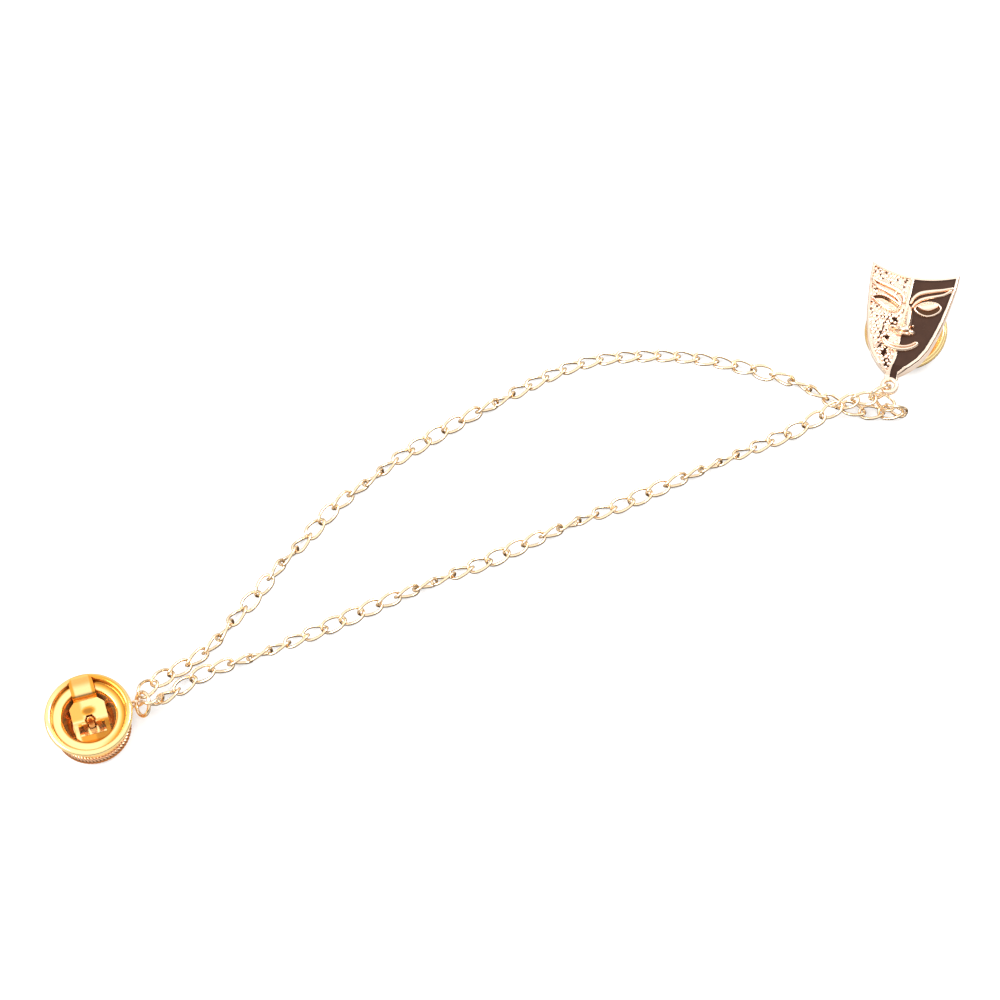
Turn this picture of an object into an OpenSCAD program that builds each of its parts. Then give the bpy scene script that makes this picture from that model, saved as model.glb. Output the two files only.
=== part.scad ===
// Lapel chain: a mask brooch and a round brooch joined by two strands of fine curb chain.
// It lies on a flat surface at z = 0. The round brooch lies face down, and the mask brooch
// lies face up on its clutch. Millimetres, +Z up.

/* [Clutch] */
// Width over the rolled rim of a clutch
clutch_d = 11.4; // [10.6:0.1:12.4]
// Height of a clutch from its base to the top of its rim
clutch_h = 4.4; // [4:0.1:5]
// Thickness of the roll at the rim
roll_d = 0.9; // [0.7:0.05:1.1]
// Sheet thickness of the clutch cap
cap_sheet = 0.35; // [0.25:0.05:0.4]
// Width of the round well at its mouth
well_d = 7.1; // [6.7:0.1:7.5]
// Width of the flat base of the clutch
base_d = 6.4; // [5.8:0.1:6.8]
// Drop from the top of the rim to the ledge around the well
ledge_drop = 0.9; // [0.7:0.05:1.1]

/* [Spring] */
// Sheet thickness of the butterfly spring
spring_sheet = 0.3; // [0.2:0.02:0.36]
// Width of the spring at the post
spring_w = 4.6; // [4.2:0.1:4.8]
// Width of a wing at its tip
wing_tip_w = 3.1; // [2.6:0.1:3.6]
// Height of the wing tips above the rim
wing_rise = 0.8; // [0.5:0.05:1.1]
// Height above the clutch base where the two arms cross
cross_h = 2.1; // [1.8:0.05:2.4]
// Width of the window in the outer arm
window_w = 3.4; // [3.2:0.1:3.6]

/* [Posts] */
// Thickness of a pin post
post_d = 1.0; // [0.8:0.05:1.1]
// Length of a pin post from the back of its brooch
post_len = 3.1; // [2.8:0.1:3.6]
// Length of the pointed tip of a post
tip_len = 0.8; // [0.5:0.1:1.2]
// Gap around a post in the clutch
post_gap = 0.08; // [0.05:0.01:0.12]

/* [Round brooch] */
// Width of the round brooch over its rope rim
round_d = 10.0; // [9.6:0.1:11.4]
// Thickness of the round brooch at its back plate
round_t = 1.3; // [1.1:0.05:1.6]
// Thickness of the rope rim
rope_d = 1.2; // [0.9:0.05:1.3]
// Width of the raised border on the hidden front
border_w = 0.8; // [0.5:0.1:1.2]
// Depth of the hidden front inside its border
front_depth = 0.3; // [0.2:0.05:0.4]

/* [Mask brooch] */
// Width of the mask at its brows
mask_w = 12.2; // [11.6:0.1:12.6]
// Height of the mask from its upper corners to its chin
mask_h = 15.8; // [15.2:0.1:16.4]
// Dip of the upper edge between its corners
top_dip = 1.68; // [1.2:0.02:1.9]
// Thickness of the mask at its edge
mask_t = 1.15; // [1:0.05:1.3]
// Extra thickness of the mask at its middle
crown = 0.8; // [0.7:0.05:1]
// Width of the plain border around the face
mask_rim = 0.34; // [0.3:0.02:0.44]
// Depth of the sunk fields inside the border
field_depth = 0.3; // [0.24:0.02:0.36]
// Width of the dividing line down the face
divider_w = 0.4; // [0.3:0.02:0.5]
// Height of the brows, eyelids and mouth above the plate
relief_h = 0.4; // [0.3:0.02:0.5]
// Height of the nose above the plate
nose_h = 0.85; // [0.6:0.05:1]
// Gap around the enamel and around the grain field
inlay_gap = 0.04; // [0.03:0.01:0.06]
// Width of one grain on the textured half
grain_d = 0.46; // [0.4:0.02:0.48]
// Spacing of the grains
grain_pitch = 0.62; // [0.6:0.02:0.8]
// Thickness of the ring eye below the chin
eye_t = 0.9; // [0.8:0.05:1]
// Outer radius of that eye
eye_r = 1.26; // [1.16:0.02:1.4]
// Radius of the hole in that eye
eye_hole_r = 0.62; // [0.58:0.02:0.64]

/* [Rings and chain] */
// Width of a jump ring over its wire
ring_d = 3.6; // [3.5:0.05:3.7]
// Wire thickness of a jump ring
ring_wire = 0.5; // [0.44:0.02:0.54]
// Length of a chain link over its wire
link_l = 3.74; // [3.7:0.02:3.8]
// Width of a chain link over its wire
link_w = 2.28; // [2.2:0.02:2.36]
// Wire thickness of a chain link
link_wire = 0.42; // [0.38:0.01:0.44]
// Twist of each half of a link about the chain's line, in degrees
link_twist = 37; // [33:1:41]

/* [Hidden] */
$fn = 48;

pale_gold = [0.93, 0.80, 0.66];
yellow_gold = [0.93, 0.68, 0.22];
dark_brown = [0.20, 0.12, 0.09];

// Middle of the whole object on the surface, which becomes the origin
middle = [0.8, 0.35, 0];

// Where the two brooches lie, and how they are turned
round_place = [-54.5, -30.0, 0];
round_clutch_turn = 16;
mask_place = [54.1, 27.7, 0];
mask_lean = 210;
mask_turn = -15.5;
face_x = 0.1;
mask_clutch_turn = 210;

// Clutch values
roll_r = roll_d / 2;
rim_r = clutch_d / 2 - roll_r;
well_r = well_d / 2;
base_r = base_d / 2;
ledge_z = clutch_h - ledge_drop;
post_r = post_d / 2;
clutch_bore_r = post_r + post_gap;
floor_gap = 0.05;
seat_gap = 0.025;
post_root = 0.3;
spring_z = cap_sheet + floor_gap;
foot_y = base_r - cap_sheet - 0.55;
spring_gap = 0.12;
wing_tip_y = rim_r - 0.25;
wing_tip_z = clutch_h + wing_rise;
bend_y = well_r - 1;
bend_z = cross_h + 0.85;
lip_y = well_r - 0.5;
lip_z = ledge_z + 0.25;
near_reach = 0.4;
neck_w = window_w - 0.2;

// The mask leans until the tips of its wings and its rim touch the surface
arm_out = rim_r - wing_tip_w / 2;
arm_up = wing_rise + roll_r;
mask_tilt = atan2(arm_up, arm_out) - asin(roll_r / norm([arm_out, arm_up]));
mask_seat_z = rim_r * sin(mask_tilt) + (clutch_h + seat_gap - roll_r) * cos(mask_tilt) + roll_r;

// Mask values: x to the viewer's right, y towards the brow, origin on the post
half_w = mask_w / 2;
corner_y = 0.47 * mask_h;
top_y = corner_y - top_dip;
chin_y = corner_y - mask_h;
waist_y = chin_y - 0.3;
waist_w = 0.85;
eye_y = waist_y - eye_r;
neck_top_y = chin_y + 1.1;
front_r = (half_w * half_w + crown * crown) / (2 * crown);
enamel_sink = 0.04;

// Half widths of the mask as shares: how far down from the corners, how much of half its width
mask_sides = [
    [0.00, 0.990], [0.12, 0.985], [0.22, 0.955], [0.34, 0.915], [0.46, 0.868], [0.60, 0.790],
    [0.74, 0.685], [0.84, 0.555], [0.92, 0.385], [0.97, 0.245], [1.00, 0.150]];

// Feature lines of the right half as shares of half the width and of the height above the post;
// the third value is the line's width as a share of half the mask's width
brow_upper = [
    [0.082, 0.120, 0.050], [0.107, 0.158, 0.060], [0.156, 0.190, 0.068], [0.230, 0.218, 0.075],
    [0.336, 0.239, 0.075], [0.525, 0.267, 0.066], [0.713, 0.294, 0.056], [0.900, 0.330, 0.045]];
brow_lower = [
    [0.139, 0.085, 0.045], [0.189, 0.123, 0.055], [0.270, 0.158, 0.060], [0.410, 0.190, 0.060],
    [0.598, 0.222, 0.055], [0.754, 0.253, 0.050], [0.885, 0.305, 0.045]];
mouth_line = [
    [-0.370, -0.255, 0.080], [-0.300, -0.278, 0.115], [-0.160, -0.303, 0.140], [0.000, -0.313, 0.147],
    [0.160, -0.303, 0.140], [0.300, -0.278, 0.115], [0.370, -0.255, 0.080]];
nose_sides = [
    [0.139, 0.060], [0.030, 0.075], [-0.050, 0.100], [-0.108, 0.130], [-0.136, 0.220], [-0.149, 0.270],
    [-0.174, 0.270], [-0.193, 0.200], [-0.200, 0.100]];
feature_x = 0.2;
lid_centre = [0.475, 0.0835];
lid_long = 0.32;
lid_short = 0.167;
lid_slant = 17;
lid_points = 24;

// Round lug and jump rings
lug_turn = 30;
lug_face = 14;
lug_wire = 0.42;
lug_hole_r = 0.62;
lug_r = lug_hole_r + lug_wire / 2;
lug_reach = 0.5;
lug_out = round_d / 2 + lug_r + lug_reach;
lug_z = lug_hole_r + lug_wire;
lug_point = round_place + [lug_out * cos(lug_turn), lug_out * sin(lug_turn), lug_z];
ring_r = (ring_d - ring_wire) / 2;
round_ring_turn = 20;
round_ring_rise = 55;
round_ring_slip = 30;

mask_ring_turn = 206.5;
mask_ring_droop = 15;

// Where each strand hooks on its rings, in degrees around the ring
long_hooks = [60, 77];
short_hooks = [-20, 12];

// Chain values
hook_gap = 0.185;
rest_gap = 0.02;
first_lift = 0.9;
link_a = (link_l - link_wire) / 2;
link_b = (link_w - link_wire) / 2;
link_steps = 12;
wire_sides = 5;
link_pitch = 2 * link_a - link_wire - hook_gap;
hook_out = (link_wire + ring_wire) / 2 + hook_gap - (2 * link_a - link_pitch) / 2;

// Routes of the strands, chosen by hand. Heights are above the chain's own rest.
long_route = [
    [-46.3, -23.7, 0.8], [-43.6, -22.1, 0.1], [-41.4, -20.4, 0], [-39.2, -18.5, 0], [-36.8, -15.0, 0],
    [-33.7, -11.1, 0], [-30.9, -7.2, 0], [-28.3, -4.2, 0], [-24.1, 1.2, 0], [-19.2, 5.3, 0],
    [-14.9, 9.2, 0], [-10.4, 12.3, 0], [-5.8, 15.1, 0], [-1.3, 17.6, 0], [3.1, 20.4, 0],
    [7.9, 22.8, 0], [12.3, 24.1, 0], [17.9, 24.7, 0], [23.4, 24.6, 0], [29.6, 23.6, 0],
    [34.6, 22.0, 0], [39.2, 20.3, 0]];
short_route = [
    [-45.4, -26.3, 0.3], [-43.4, -24.6, 0], [-41.2, -22.9, 0], [-38.3, -21.7, 0], [-33.9, -20.3, 0],
    [-29.5, -18.3, 0], [-25.3, -16.3, 0], [-16.1, -12.1, 0], [-5.4, -7.4, 0], [5.2, -2.4, 0],
    [16.1, 2.5, 0], [26.6, 7.3, 0], [35.4, 11.5, 0], [37.8, 12.6, 0.1]];

// Last joints of each strand: place from the middle of the mask, and the roll of the link that
// starts there. The short strand passes over the long one, and the long one folds back to the ring.
long_ends = [
    [-10.8, -9.7, 0.9, -20], [-8.4, -10.8, 0.75, -5], [-5.8, -11.7, 0.62, 0], [-3.4, -11.7, 0.62, 5],
    [-0.6, -12.0, 1.2, 95], [-2.1, -11.7, 2.25, 130]];
short_ends = [
    [-13.9, -13.9, 1.1, 45], [-11.5, -12.8, 1.9, 45], [-9.3, -11.6, 2.35, 55], [-7.1, -10.8, 2.95, 60]];

// How the links roll along the rest of a strand: share of its length, roll in degrees
long_rolls = [
    [0.000, 6], [0.118, 90], [0.231, 270], [0.366, 450], [0.559, 630], [0.604, 695],
    [0.887, 705], [0.945, 810], [1.000, 870]];
short_rolls = [
    [0.000, -90], [0.140, 90], [0.406, 270], [0.616, 450], [0.819, 630], [1.000, 735]];

round_plate();
round_clutch_cap();
round_clutch_spring();
round_jump_ring();
mask_plate();
mask_enamel();
mask_grains();
mask_clutch_cap();
mask_clutch_spring();
mask_jump_ring();
chain_long();
chain_short();

// Places of the sub-assemblies

module about_origin() {
    translate(-middle)
        children();
}

module on_round_back() {
    about_origin()
        translate(round_place + [0, 0, round_t])
            rotate([0, 0, round_clutch_turn])
                children();
}

module on_mask() {
    about_origin()
        translate(mask_place + [0, 0, mask_seat_z])
            rotate([0, 0, mask_lean])
                rotate([0, mask_tilt, 0])
                    rotate([0, 0, mask_turn - mask_lean])
                        children();
}

module on_face() {
    on_mask()
        translate([face_x, 0, 0])
            children();
}

module on_mask_back() {
    on_mask()
        rotate([180, 0, 0])
            rotate([0, 0, mask_turn - mask_clutch_turn])
                children();
}

// The same turns as functions, for points on the mask
function turn_z(p, a) = [p[0] * cos(a) - p[1] * sin(a), p[0] * sin(a) + p[1] * cos(a), p[2]];
function turn_y(p, a) = [p[0] * cos(a) + p[2] * sin(a), p[1], p[2] * cos(a) - p[0] * sin(a)];
function mask_dir(p) = turn_z(turn_y(turn_z(p, mask_turn - mask_lean), mask_tilt), mask_lean);
function mask_point(p) = mask_place + [0, 0, mask_seat_z] + mask_dir(p);

// Clutch: a spun cap with a rolled rim around a ledge and a well, and a butterfly spring

module clutch_cap() {
    color(yellow_gold)
        rotate_extrude($fn = 96) {
            polygon([
                [clutch_bore_r, 0],
                [base_r, 0],
                [well_r + cap_sheet, ledge_z - cap_sheet],
                [rim_r + roll_r / 2, ledge_z - cap_sheet],
                [rim_r + roll_r / 2, clutch_h - roll_r],
                [rim_r - roll_r / 2, clutch_h - roll_r],
                [rim_r - roll_r / 2, ledge_z],
                [well_r, ledge_z],
                [base_r - cap_sheet, cap_sheet],
                [clutch_bore_r, cap_sheet]]);
            translate([rim_r, clutch_h - roll_r])
                circle(r = roll_r, $fn = 24);
        }
}

// One arm seen from its side: up from the foot, across the post to a bend inside the well's mouth,
// and out over the rim
module arm_side() {
    polygon([
        [-foot_y - spring_sheet, spring_z],
        [-foot_y, spring_z],
        [0.3, cross_h - 0.35],
        [bend_y, bend_z - spring_sheet],
        [lip_y + 0.1, lip_z - spring_sheet],
        [wing_tip_y, wing_tip_z - spring_sheet],
        [wing_tip_y - 0.12, wing_tip_z],
        [lip_y - 0.1, lip_z],
        [bend_y - 0.1, bend_z],
        [0.1, cross_h + spring_sheet * 0.8],
        [-foot_y - spring_sheet, spring_z + spring_sheet + 0.1]]);
}

module arm_sheet(width) {
    rotate([90, 0, 90])
        linear_extrude(width, center = true)
            arm_side();
}

module wing_plan() {
    polygon([
        [-spring_w / 2, -foot_y - 1], [spring_w / 2, -foot_y - 1], [spring_w / 2, bend_y - 0.65],
        [wing_tip_w / 2, bend_y], [wing_tip_w / 2, wing_tip_y - 0.5],
        [wing_tip_w / 2 - 0.4, wing_tip_y + 0.1], [-wing_tip_w / 2 + 0.4, wing_tip_y + 0.1],
        [-wing_tip_w / 2, wing_tip_y - 0.5], [-wing_tip_w / 2, bend_y],
        [-spring_w / 2, bend_y - 0.65]]);
}

module shaped_arm() {
    intersection() {
        arm_sheet(spring_w);
        linear_extrude(clutch_h + wing_rise + 1)
            wing_plan();
    }
}

// The room for the spring: the well, and all above the ledge
module spring_room() {
    rotate_extrude($fn = 96)
        polygon([
            [0, spring_z], [base_r - cap_sheet - spring_gap, spring_z],
            [well_r - spring_gap, ledge_z], [well_r - spring_gap, ledge_z + spring_gap],
            [clutch_d, ledge_z + spring_gap], [clutch_d, wing_tip_z + 1], [0, wing_tip_z + 1]]);
}

// The second arm passes through the first one's window, and its wing ends at a reach from the post
module clutch_spring(second_reach) {
    reach = foot_y + spring_sheet;
    color(yellow_gold)
        intersection() {
            spring_room();
            difference() {
                union() {
                    difference() {
                        shaped_arm();
                        translate([-window_w / 2, -1.9, spring_z + spring_sheet + 0.3])
                            cube([window_w, 1.6, clutch_h]);
                    }
                    rotate([0, 0, 180])
                        difference() {
                            shaped_arm();
                            for (side = [-1, 1])
                                translate([
                                    side * (neck_w / 2 + spring_w / 2) - spring_w / 2, -1.9,
                                    spring_z + spring_sheet + 0.2])
                                    cube([spring_w, 3.6, clutch_h]);
                            translate([-spring_w, second_reach, cross_h - 0.7])
                                cube([2 * spring_w, clutch_d, clutch_d]);
                        }
                    // Foot strip on the floor of the well
                    translate([-spring_w / 2, -reach, spring_z])
                        cube([spring_w, 2 * reach, spring_sheet]);
                }
                translate([0, 0, -1])
                    cylinder(r = clutch_bore_r, h = clutch_h + 3);
                translate([-clutch_bore_r, -0.8, cross_h - 1.1])
                    cube([2 * clutch_bore_r, 1.6, 2.4]);
            }
        }
}

module post(root) {
    translate([0, 0, -root])
        cylinder(d = post_d, h = post_len - tip_len + root);
    translate([0, 0, post_len - tip_len])
        cylinder(d1 = post_d, d2 = post_d * 0.25, h = tip_len);
}

module wire_ring(centre_r, wire_d) {
    rotate_extrude($fn = 64)
        translate([centre_r, 0])
            circle(d = wire_d, $fn = 24);
}

// Round brooch, face down

module round_plate() {
    color(pale_gold)
        about_origin() {
            translate(round_place)
                round_disc();
            // Wire eye soldered to the rim, and its short root
            translate(lug_point)
                rotate([90, 0, lug_face])
                    wire_ring(lug_r, lug_wire);
            translate(round_place + [0, 0, rope_d / 2])
                rotate([0, 0, lug_turn])
                    rotate([0, 90, 0])
                        translate([0, 0, round_d / 2 - rope_d / 2])
                            cylinder(d = lug_wire * 1.6, h = rope_d / 2 + lug_reach + lug_wire / 2, $fn = 24);
        }
}

module round_disc() {
    field_r = round_d / 2 - rope_d / 2 - border_w;
    rope_r = round_d / 2 - rope_d / 2;
    rotate_extrude($fn = 96)
        polygon([
            [0, front_depth], [field_r, front_depth], [field_r + front_depth, 0],
            [rope_r, 0], [rope_r, round_t], [0, round_t]]);
    translate([0, 0, rope_d / 2])
        rotate_extrude($fn = 96)
            translate([rope_r, 0])
                circle(d = rope_d, $fn = 32);
    translate([0, 0, round_t])
        post(post_root);
}

module round_clutch_cap() {
    on_round_back()
        translate([0, 0, seat_gap])
            clutch_cap();
}

module round_clutch_spring() {
    on_round_back()
        translate([0, 0, seat_gap])
            clutch_spring(near_reach);
}

// The ring by the round brooch leans outwards, with its wire through the lug
ring_axis_t = [cos(round_ring_turn + 90), sin(round_ring_turn + 90), 0];
ring_axis_u = [
    cos(round_ring_turn) * cos(round_ring_rise),
    sin(round_ring_turn) * cos(round_ring_rise),
    sin(round_ring_rise)];
round_ring_centre = lug_point
    + ring_r * (cos(round_ring_slip) * ring_axis_u - sin(round_ring_slip) * ring_axis_t);
function round_ring_at(a) = round_ring_centre + ring_r * (cos(a) * ring_axis_u + sin(a) * ring_axis_t);

module round_jump_ring() {
    color(pale_gold)
        about_origin()
            translate(round_ring_centre)
                rotate([0, 0, round_ring_turn])
                    rotate([0, -round_ring_rise, 0])
                        wire_ring(ring_r, ring_wire);
}

// The ring by the mask hangs upright through the eye below the chin
eye_point = mask_point([face_x, eye_y, eye_t / 2]);
mask_ring_c = mask_dir([
    cos(mask_ring_turn - mask_turn),
    sin(mask_ring_turn - mask_turn),
    0]);
mask_ring_n = mask_dir([0, 0, 1]);
mask_ring_centre = eye_point
    + ring_r * (cos(mask_ring_droop) * mask_ring_c - sin(mask_ring_droop) * mask_ring_n);
function mask_ring_at(a) = mask_ring_centre + ring_r * (cos(a) * mask_ring_c - sin(a) * mask_ring_n);

module mask_jump_ring() {
    color(pale_gold)
        on_mask()
            translate([face_x, eye_y, eye_t / 2])
                rotate([0, mask_ring_droop, mask_ring_turn - mask_turn])
                    translate([ring_r, 0, 0])
                        rotate([90, 0, 0])
                            wire_ring(ring_r, ring_wire);
}

// Smooth lists: a spline through points

function spline(p0, p1, p2, p3, t) =
    0.5 * (2 * p1 + (p2 - p0) * t + (2 * p0 - 5 * p1 + 4 * p2 - p3) * t * t
        + (3 * p1 - p0 - 3 * p2 + p3) * t * t * t);
function smooth(pts, n) = [
    for (i = [0 : len(pts) - 2], k = [0 : n - 1])
        spline(pts[max(i - 1, 0)], pts[i], pts[i + 1], pts[min(i + 2, len(pts) - 1)], k / n),
    pts[len(pts) - 1]];

// Mask outline and features

function side_w(s) = half_w * lookup(s, mask_sides);
function outline_side(inset) = [
    for (i = [0 : 20])
        let (s = i / 20, y = corner_y - s * mask_h)
            [max(side_w(s) - inset * (1 + 0.6 * s), 0.12), y]];
function outline_top(inset) = [
    for (i = [1 : 9])
        let (x = (1 - i / 5) * (half_w * mask_sides[0][1] - inset))
            [x, top_y + top_dip * pow(x / half_w, 2) - inset]];
function keep_below(pts, inset) = [
    for (p = pts)
        [p[0], min(p[1], top_y + top_dip * pow(p[0] / half_w, 2) - inset)]];

module face_outline(inset) {
    right = keep_below(outline_side(inset), inset);
    polygon(concat(
        right,
        [for (i = [len(right) - 1 : -1 : 0]) [-right[i][0], right[i][1]]],
        [for (i = [8 : -1 : 0]) outline_top(inset)[i]]));
}

module plate_outline() {
    face_outline(0);
    polygon([
        [-side_w(0.97), chin_y + 0.05 * mask_h], [-waist_w - 0.15, chin_y], [-waist_w, waist_y],
        [-waist_w - 0.05, eye_y], [waist_w + 0.05, eye_y], [waist_w, waist_y],
        [waist_w + 0.15, chin_y], [side_w(0.97), chin_y + 0.05 * mask_h]]);
    translate([0, eye_y])
        circle(r = eye_r);
}

function scaled_line(rows) = [for (r = rows) [r[0] * half_w, r[1] * mask_h, r[2] * half_w]];
function ribbon(rows, extra) =
    let (
        p = smooth(scaled_line(rows), 3),
        n = len(p),
        side = [
            for (i = [0 : n - 1])
                let (
                    a = p[max(i - 1, 0)],
                    b = p[min(i + 1, n - 1)],
                    d = [b[0] - a[0], b[1] - a[1]] / norm([b[0] - a[0], b[1] - a[1]]))
                    [-d[1], d[0]] * (p[i][2] / 2 + extra)])
        concat(
            [for (i = [0 : n - 1]) [p[i][0], p[i][1]] + side[i]],
            [for (i = [n - 1 : -1 : 0]) [p[i][0], p[i][1]] - side[i]]);

module lid_outline(extra) {
    translate([lid_centre[0] * half_w, lid_centre[1] * mask_h])
        rotate(lid_slant)
            polygon([
                for (i = [0 : lid_points - 1])
                    let (t = i * 360 / lid_points, sharp = 1 - 0.12 * pow(cos(t), 2))
                        [(lid_long * half_w + extra) * cos(t), (lid_short * half_w + extra) * sin(t) * sharp]]);
}

module nose_outline(extra) {
    right = [for (r = nose_sides) [r[1] * half_w + extra, r[0] * mask_h]];
    last = len(right) - 1;
    translate([feature_x, 0])
        polygon(concat(
            [[0, right[0][1] + extra]],
            right,
            [[0, right[last][1] - extra]],
            [for (i = [last : -1 : 0]) [-right[i][0], right[i][1]]]));
}

module divider_outline(extra) {
    polygon([
        [-divider_w / 2 - extra, waist_y], [divider_w / 2 + extra, waist_y],
        [divider_w / 2 + extra, top_y + 0.3], [-divider_w / 2 - extra, top_y + 0.3]]);
}

module brows_and_lids(extra) {
    for (side = [0, 1])
        mirror([side, 0]) {
            polygon(ribbon(brow_upper, extra));
            polygon(ribbon(brow_lower, extra));
            lid_outline(extra);
        }
}

module mouth_outline(extra) {
    translate([feature_x, 0])
        polygon(ribbon(mouth_line, extra));
}

module features(extra) {
    brows_and_lids(extra);
    mouth_outline(extra);
    nose_outline(extra);
}

// Strip of enamel that runs down the neck
module neck_strip(extra) {
    edge = waist_w - 0.8 * mask_rim - extra;
    polygon([
        [0, neck_top_y + 1],
        [side_w(0.94) - 1.5 * mask_rim - extra, neck_top_y],
        [edge, chin_y], [edge, waist_y - 0.3 * eye_r],
        [0, waist_y - 0.3 * eye_r]]);
}

// The crowned front of the mask, raised or sunk by a height
// and its fall along the neck to the flat eye
module neck_space(height) {
    rotate([90, 0, 90])
        linear_extrude(2 * mask_w, center = true)
            polygon([
                [neck_top_y, mask_t + crown + height],
                [eye_y + eye_r, eye_t + height],
                [eye_y - 2 * eye_r, eye_t + height],
                [eye_y - 2 * eye_r, 2 * (mask_t + crown)],
                [neck_top_y, 2 * (mask_t + crown)]]);
}

module under_front(height) {
    difference() {
        translate([0, 0, mask_t + crown - front_r])
            rotate([90, 0, 0])
                cylinder(r = front_r + height, h = 3 * mask_h, center = true, $fn = 128);
        neck_space(height);
    }
}

module crowned(height) {
    intersection() {
        linear_extrude(mask_t + crown + nose_h + 1)
            children();
        under_front(height);
    }
}

module half_plane(side) {
    translate([side > 0 ? 0 : -mask_w, chin_y - mask_h])
        square([mask_w, 3 * mask_h]);
}

module field(side, extra) {
    difference() {
        intersection() {
            union() {
                face_outline(mask_rim + extra);
                if (side > 0)
                    neck_strip(extra);
            }
            half_plane(side);
        }
        features(extra);
        divider_outline(extra);
    }
}

module mask_plate() {
    color(pale_gold)
        on_face() {
            difference() {
                crowned(0)
                    plate_outline();
                difference() {
                    linear_extrude(mask_t + crown + 1) {
                        field(1, 0);
                        field(-1, 0);
                    }
                    under_front(-field_depth);
                }
                translate([0, eye_y, -1])
                    cylinder(r = eye_hole_r, h = mask_t + crown + 2);
            }
            crowned(relief_h)
                brows_and_lids(0);
            crowned(relief_h)
                mouth_outline(0);
            crowned(nose_h)
                nose_outline(0);
            translate([-face_x, 0, 0])
                rotate([180, 0, 0])
                    post(post_root);
        }
}

module mask_enamel() {
    color(dark_brown)
        on_face()
            difference() {
                crowned(-enamel_sink)
                    field(1, inlay_gap);
                under_front(inlay_gap - field_depth);
            }
}

// Whether a grain at a point of the mirrored half stays clear of the raised features
function line_clear(rows, p, gap) =
    min([for (q = smooth(scaled_line(rows), 4)) norm([p[0] - q[0], p[1] - q[1]]) - q[2] / 2]) > gap;
function lid_clear(p, gap) =
    let (
        q = [p[0] - lid_centre[0] * half_w, p[1] - lid_centre[1] * mask_h],
        u = (q[0] * cos(lid_slant) + q[1] * sin(lid_slant)) / (lid_long * half_w + gap),
        v = (q[1] * cos(lid_slant) - q[0] * sin(lid_slant)) / (lid_short * half_w + gap))
        u * u + v * v > 1;
function nose_clear(p, gap) =
    let (
        rows = [for (i = [len(nose_sides) - 1 : -1 : 0]) [nose_sides[i][0] * mask_h, nose_sides[i][1] * half_w]],
        low = rows[0][0] - gap,
        high = rows[len(rows) - 1][0] + gap)
        p[1] < low || p[1] > high || p[0] > lookup(p[1], rows) + gap;
function grain_fits(p, gap) =
    p[0] > divider_w / 2 + gap
    && p[0] < side_w((corner_y - p[1]) / mask_h) - (mask_rim + gap) * (1 + 0.6 * (corner_y - p[1]) / mask_h)
    && p[1] < top_y + top_dip * pow(p[0] / half_w, 2) - mask_rim - gap
    && p[1] > chin_y + 1
    && line_clear(brow_upper, p, gap)
    && line_clear(brow_lower, p, gap)
    && line_clear(mouth_line, p + [feature_x, 0], gap)
    && lid_clear(p, gap)
    && nose_clear(p + [feature_x, 0], gap);
grain_rows = floor(mask_h / (grain_pitch * 0.87));
grain_columns = floor(half_w / grain_pitch);
grain_places = [
    for (j = [0 : grain_rows], i = [0 : grain_columns])
        let (
            p = [
                divider_w / 2 + grain_pitch * (0.55 + i + (j % 2) / 2),
                corner_y - grain_pitch * 0.87 * (j + 0.5)])
            if (grain_fits(p, grain_d / 2 + inlay_gap)) p];

module mask_grains() {
    color(pale_gold)
        on_face() {
            difference() {
                crowned(0.08 - field_depth + inlay_gap)
                    field(-1, inlay_gap);
                under_front(inlay_gap - field_depth);
            }
            difference() {
                crowned(0)
                    for (p = grain_places)
                        translate([-p[0], p[1]])
                            circle(d = grain_d, $fn = 16);
                under_front(inlay_gap - field_depth);
            }
        }
}

module mask_clutch_cap() {
    on_mask_back()
        translate([0, 0, seat_gap])
            clutch_cap();
}

module mask_clutch_spring() {
    on_mask_back()
        translate([0, 0, seat_gap])
            clutch_spring(clutch_d);
}

// Chain: joints at equal steps along a route, and one twisted oval link between each two joints

function run_lengths(p, i = 0, sum = 0) =
    i >= len(p) - 1 ? [sum] : concat([sum], run_lengths(p, i + 1, sum + norm(p[i + 1] - p[i])));
function along(p, runs, s) =
    let (
        hits = [for (i = [0 : len(runs) - 2]) if (runs[i + 1] >= s) i],
        i = len(hits) > 0 ? hits[0] : len(runs) - 2,
        t = (s - runs[i]) / max(runs[i + 1] - runs[i], 0.0001))
        p[i] + (p[i + 1] - p[i]) * min(t, 1);
function joints(route, n) =
    let (
        p = smooth(route, 8),
        runs = run_lengths(p),
        total = runs[len(runs) - 1])
        [for (i = [0 : n]) along(p, runs, total * i / n)];

// A point of a link's centre line: along the chain, then across and up after its twist and roll
function link_turn(t, roll) = roll - link_twist * cos(t);
function oval(v) = sign(v) * pow(abs(v), 0.86);
function link_point(t, roll) =
    let (w = link_b * oval(sin(t)), a = link_turn(t, roll))
        [link_a * oval(cos(t)), w * cos(a), w * sin(a)];
function link_lift(roll) =
    rest_gap + link_wire / 2 + max([for (k = [0 : link_steps - 1]) abs(link_point(k * 360 / link_steps, roll)[2])]);

// Height of each joint: enough for both links that meet there to clear the surface
function rest_joints(pts, rolls) = [
    for (i = [0 : len(pts) - 1])
        let (
            before = link_lift(rolls[max(i - 1, 0)]),
            after = link_lift(rolls[min(i, len(rolls) - 1)]))
            [pts[i][0], pts[i][1], pts[i][2] + max(before, after)]];

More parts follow.
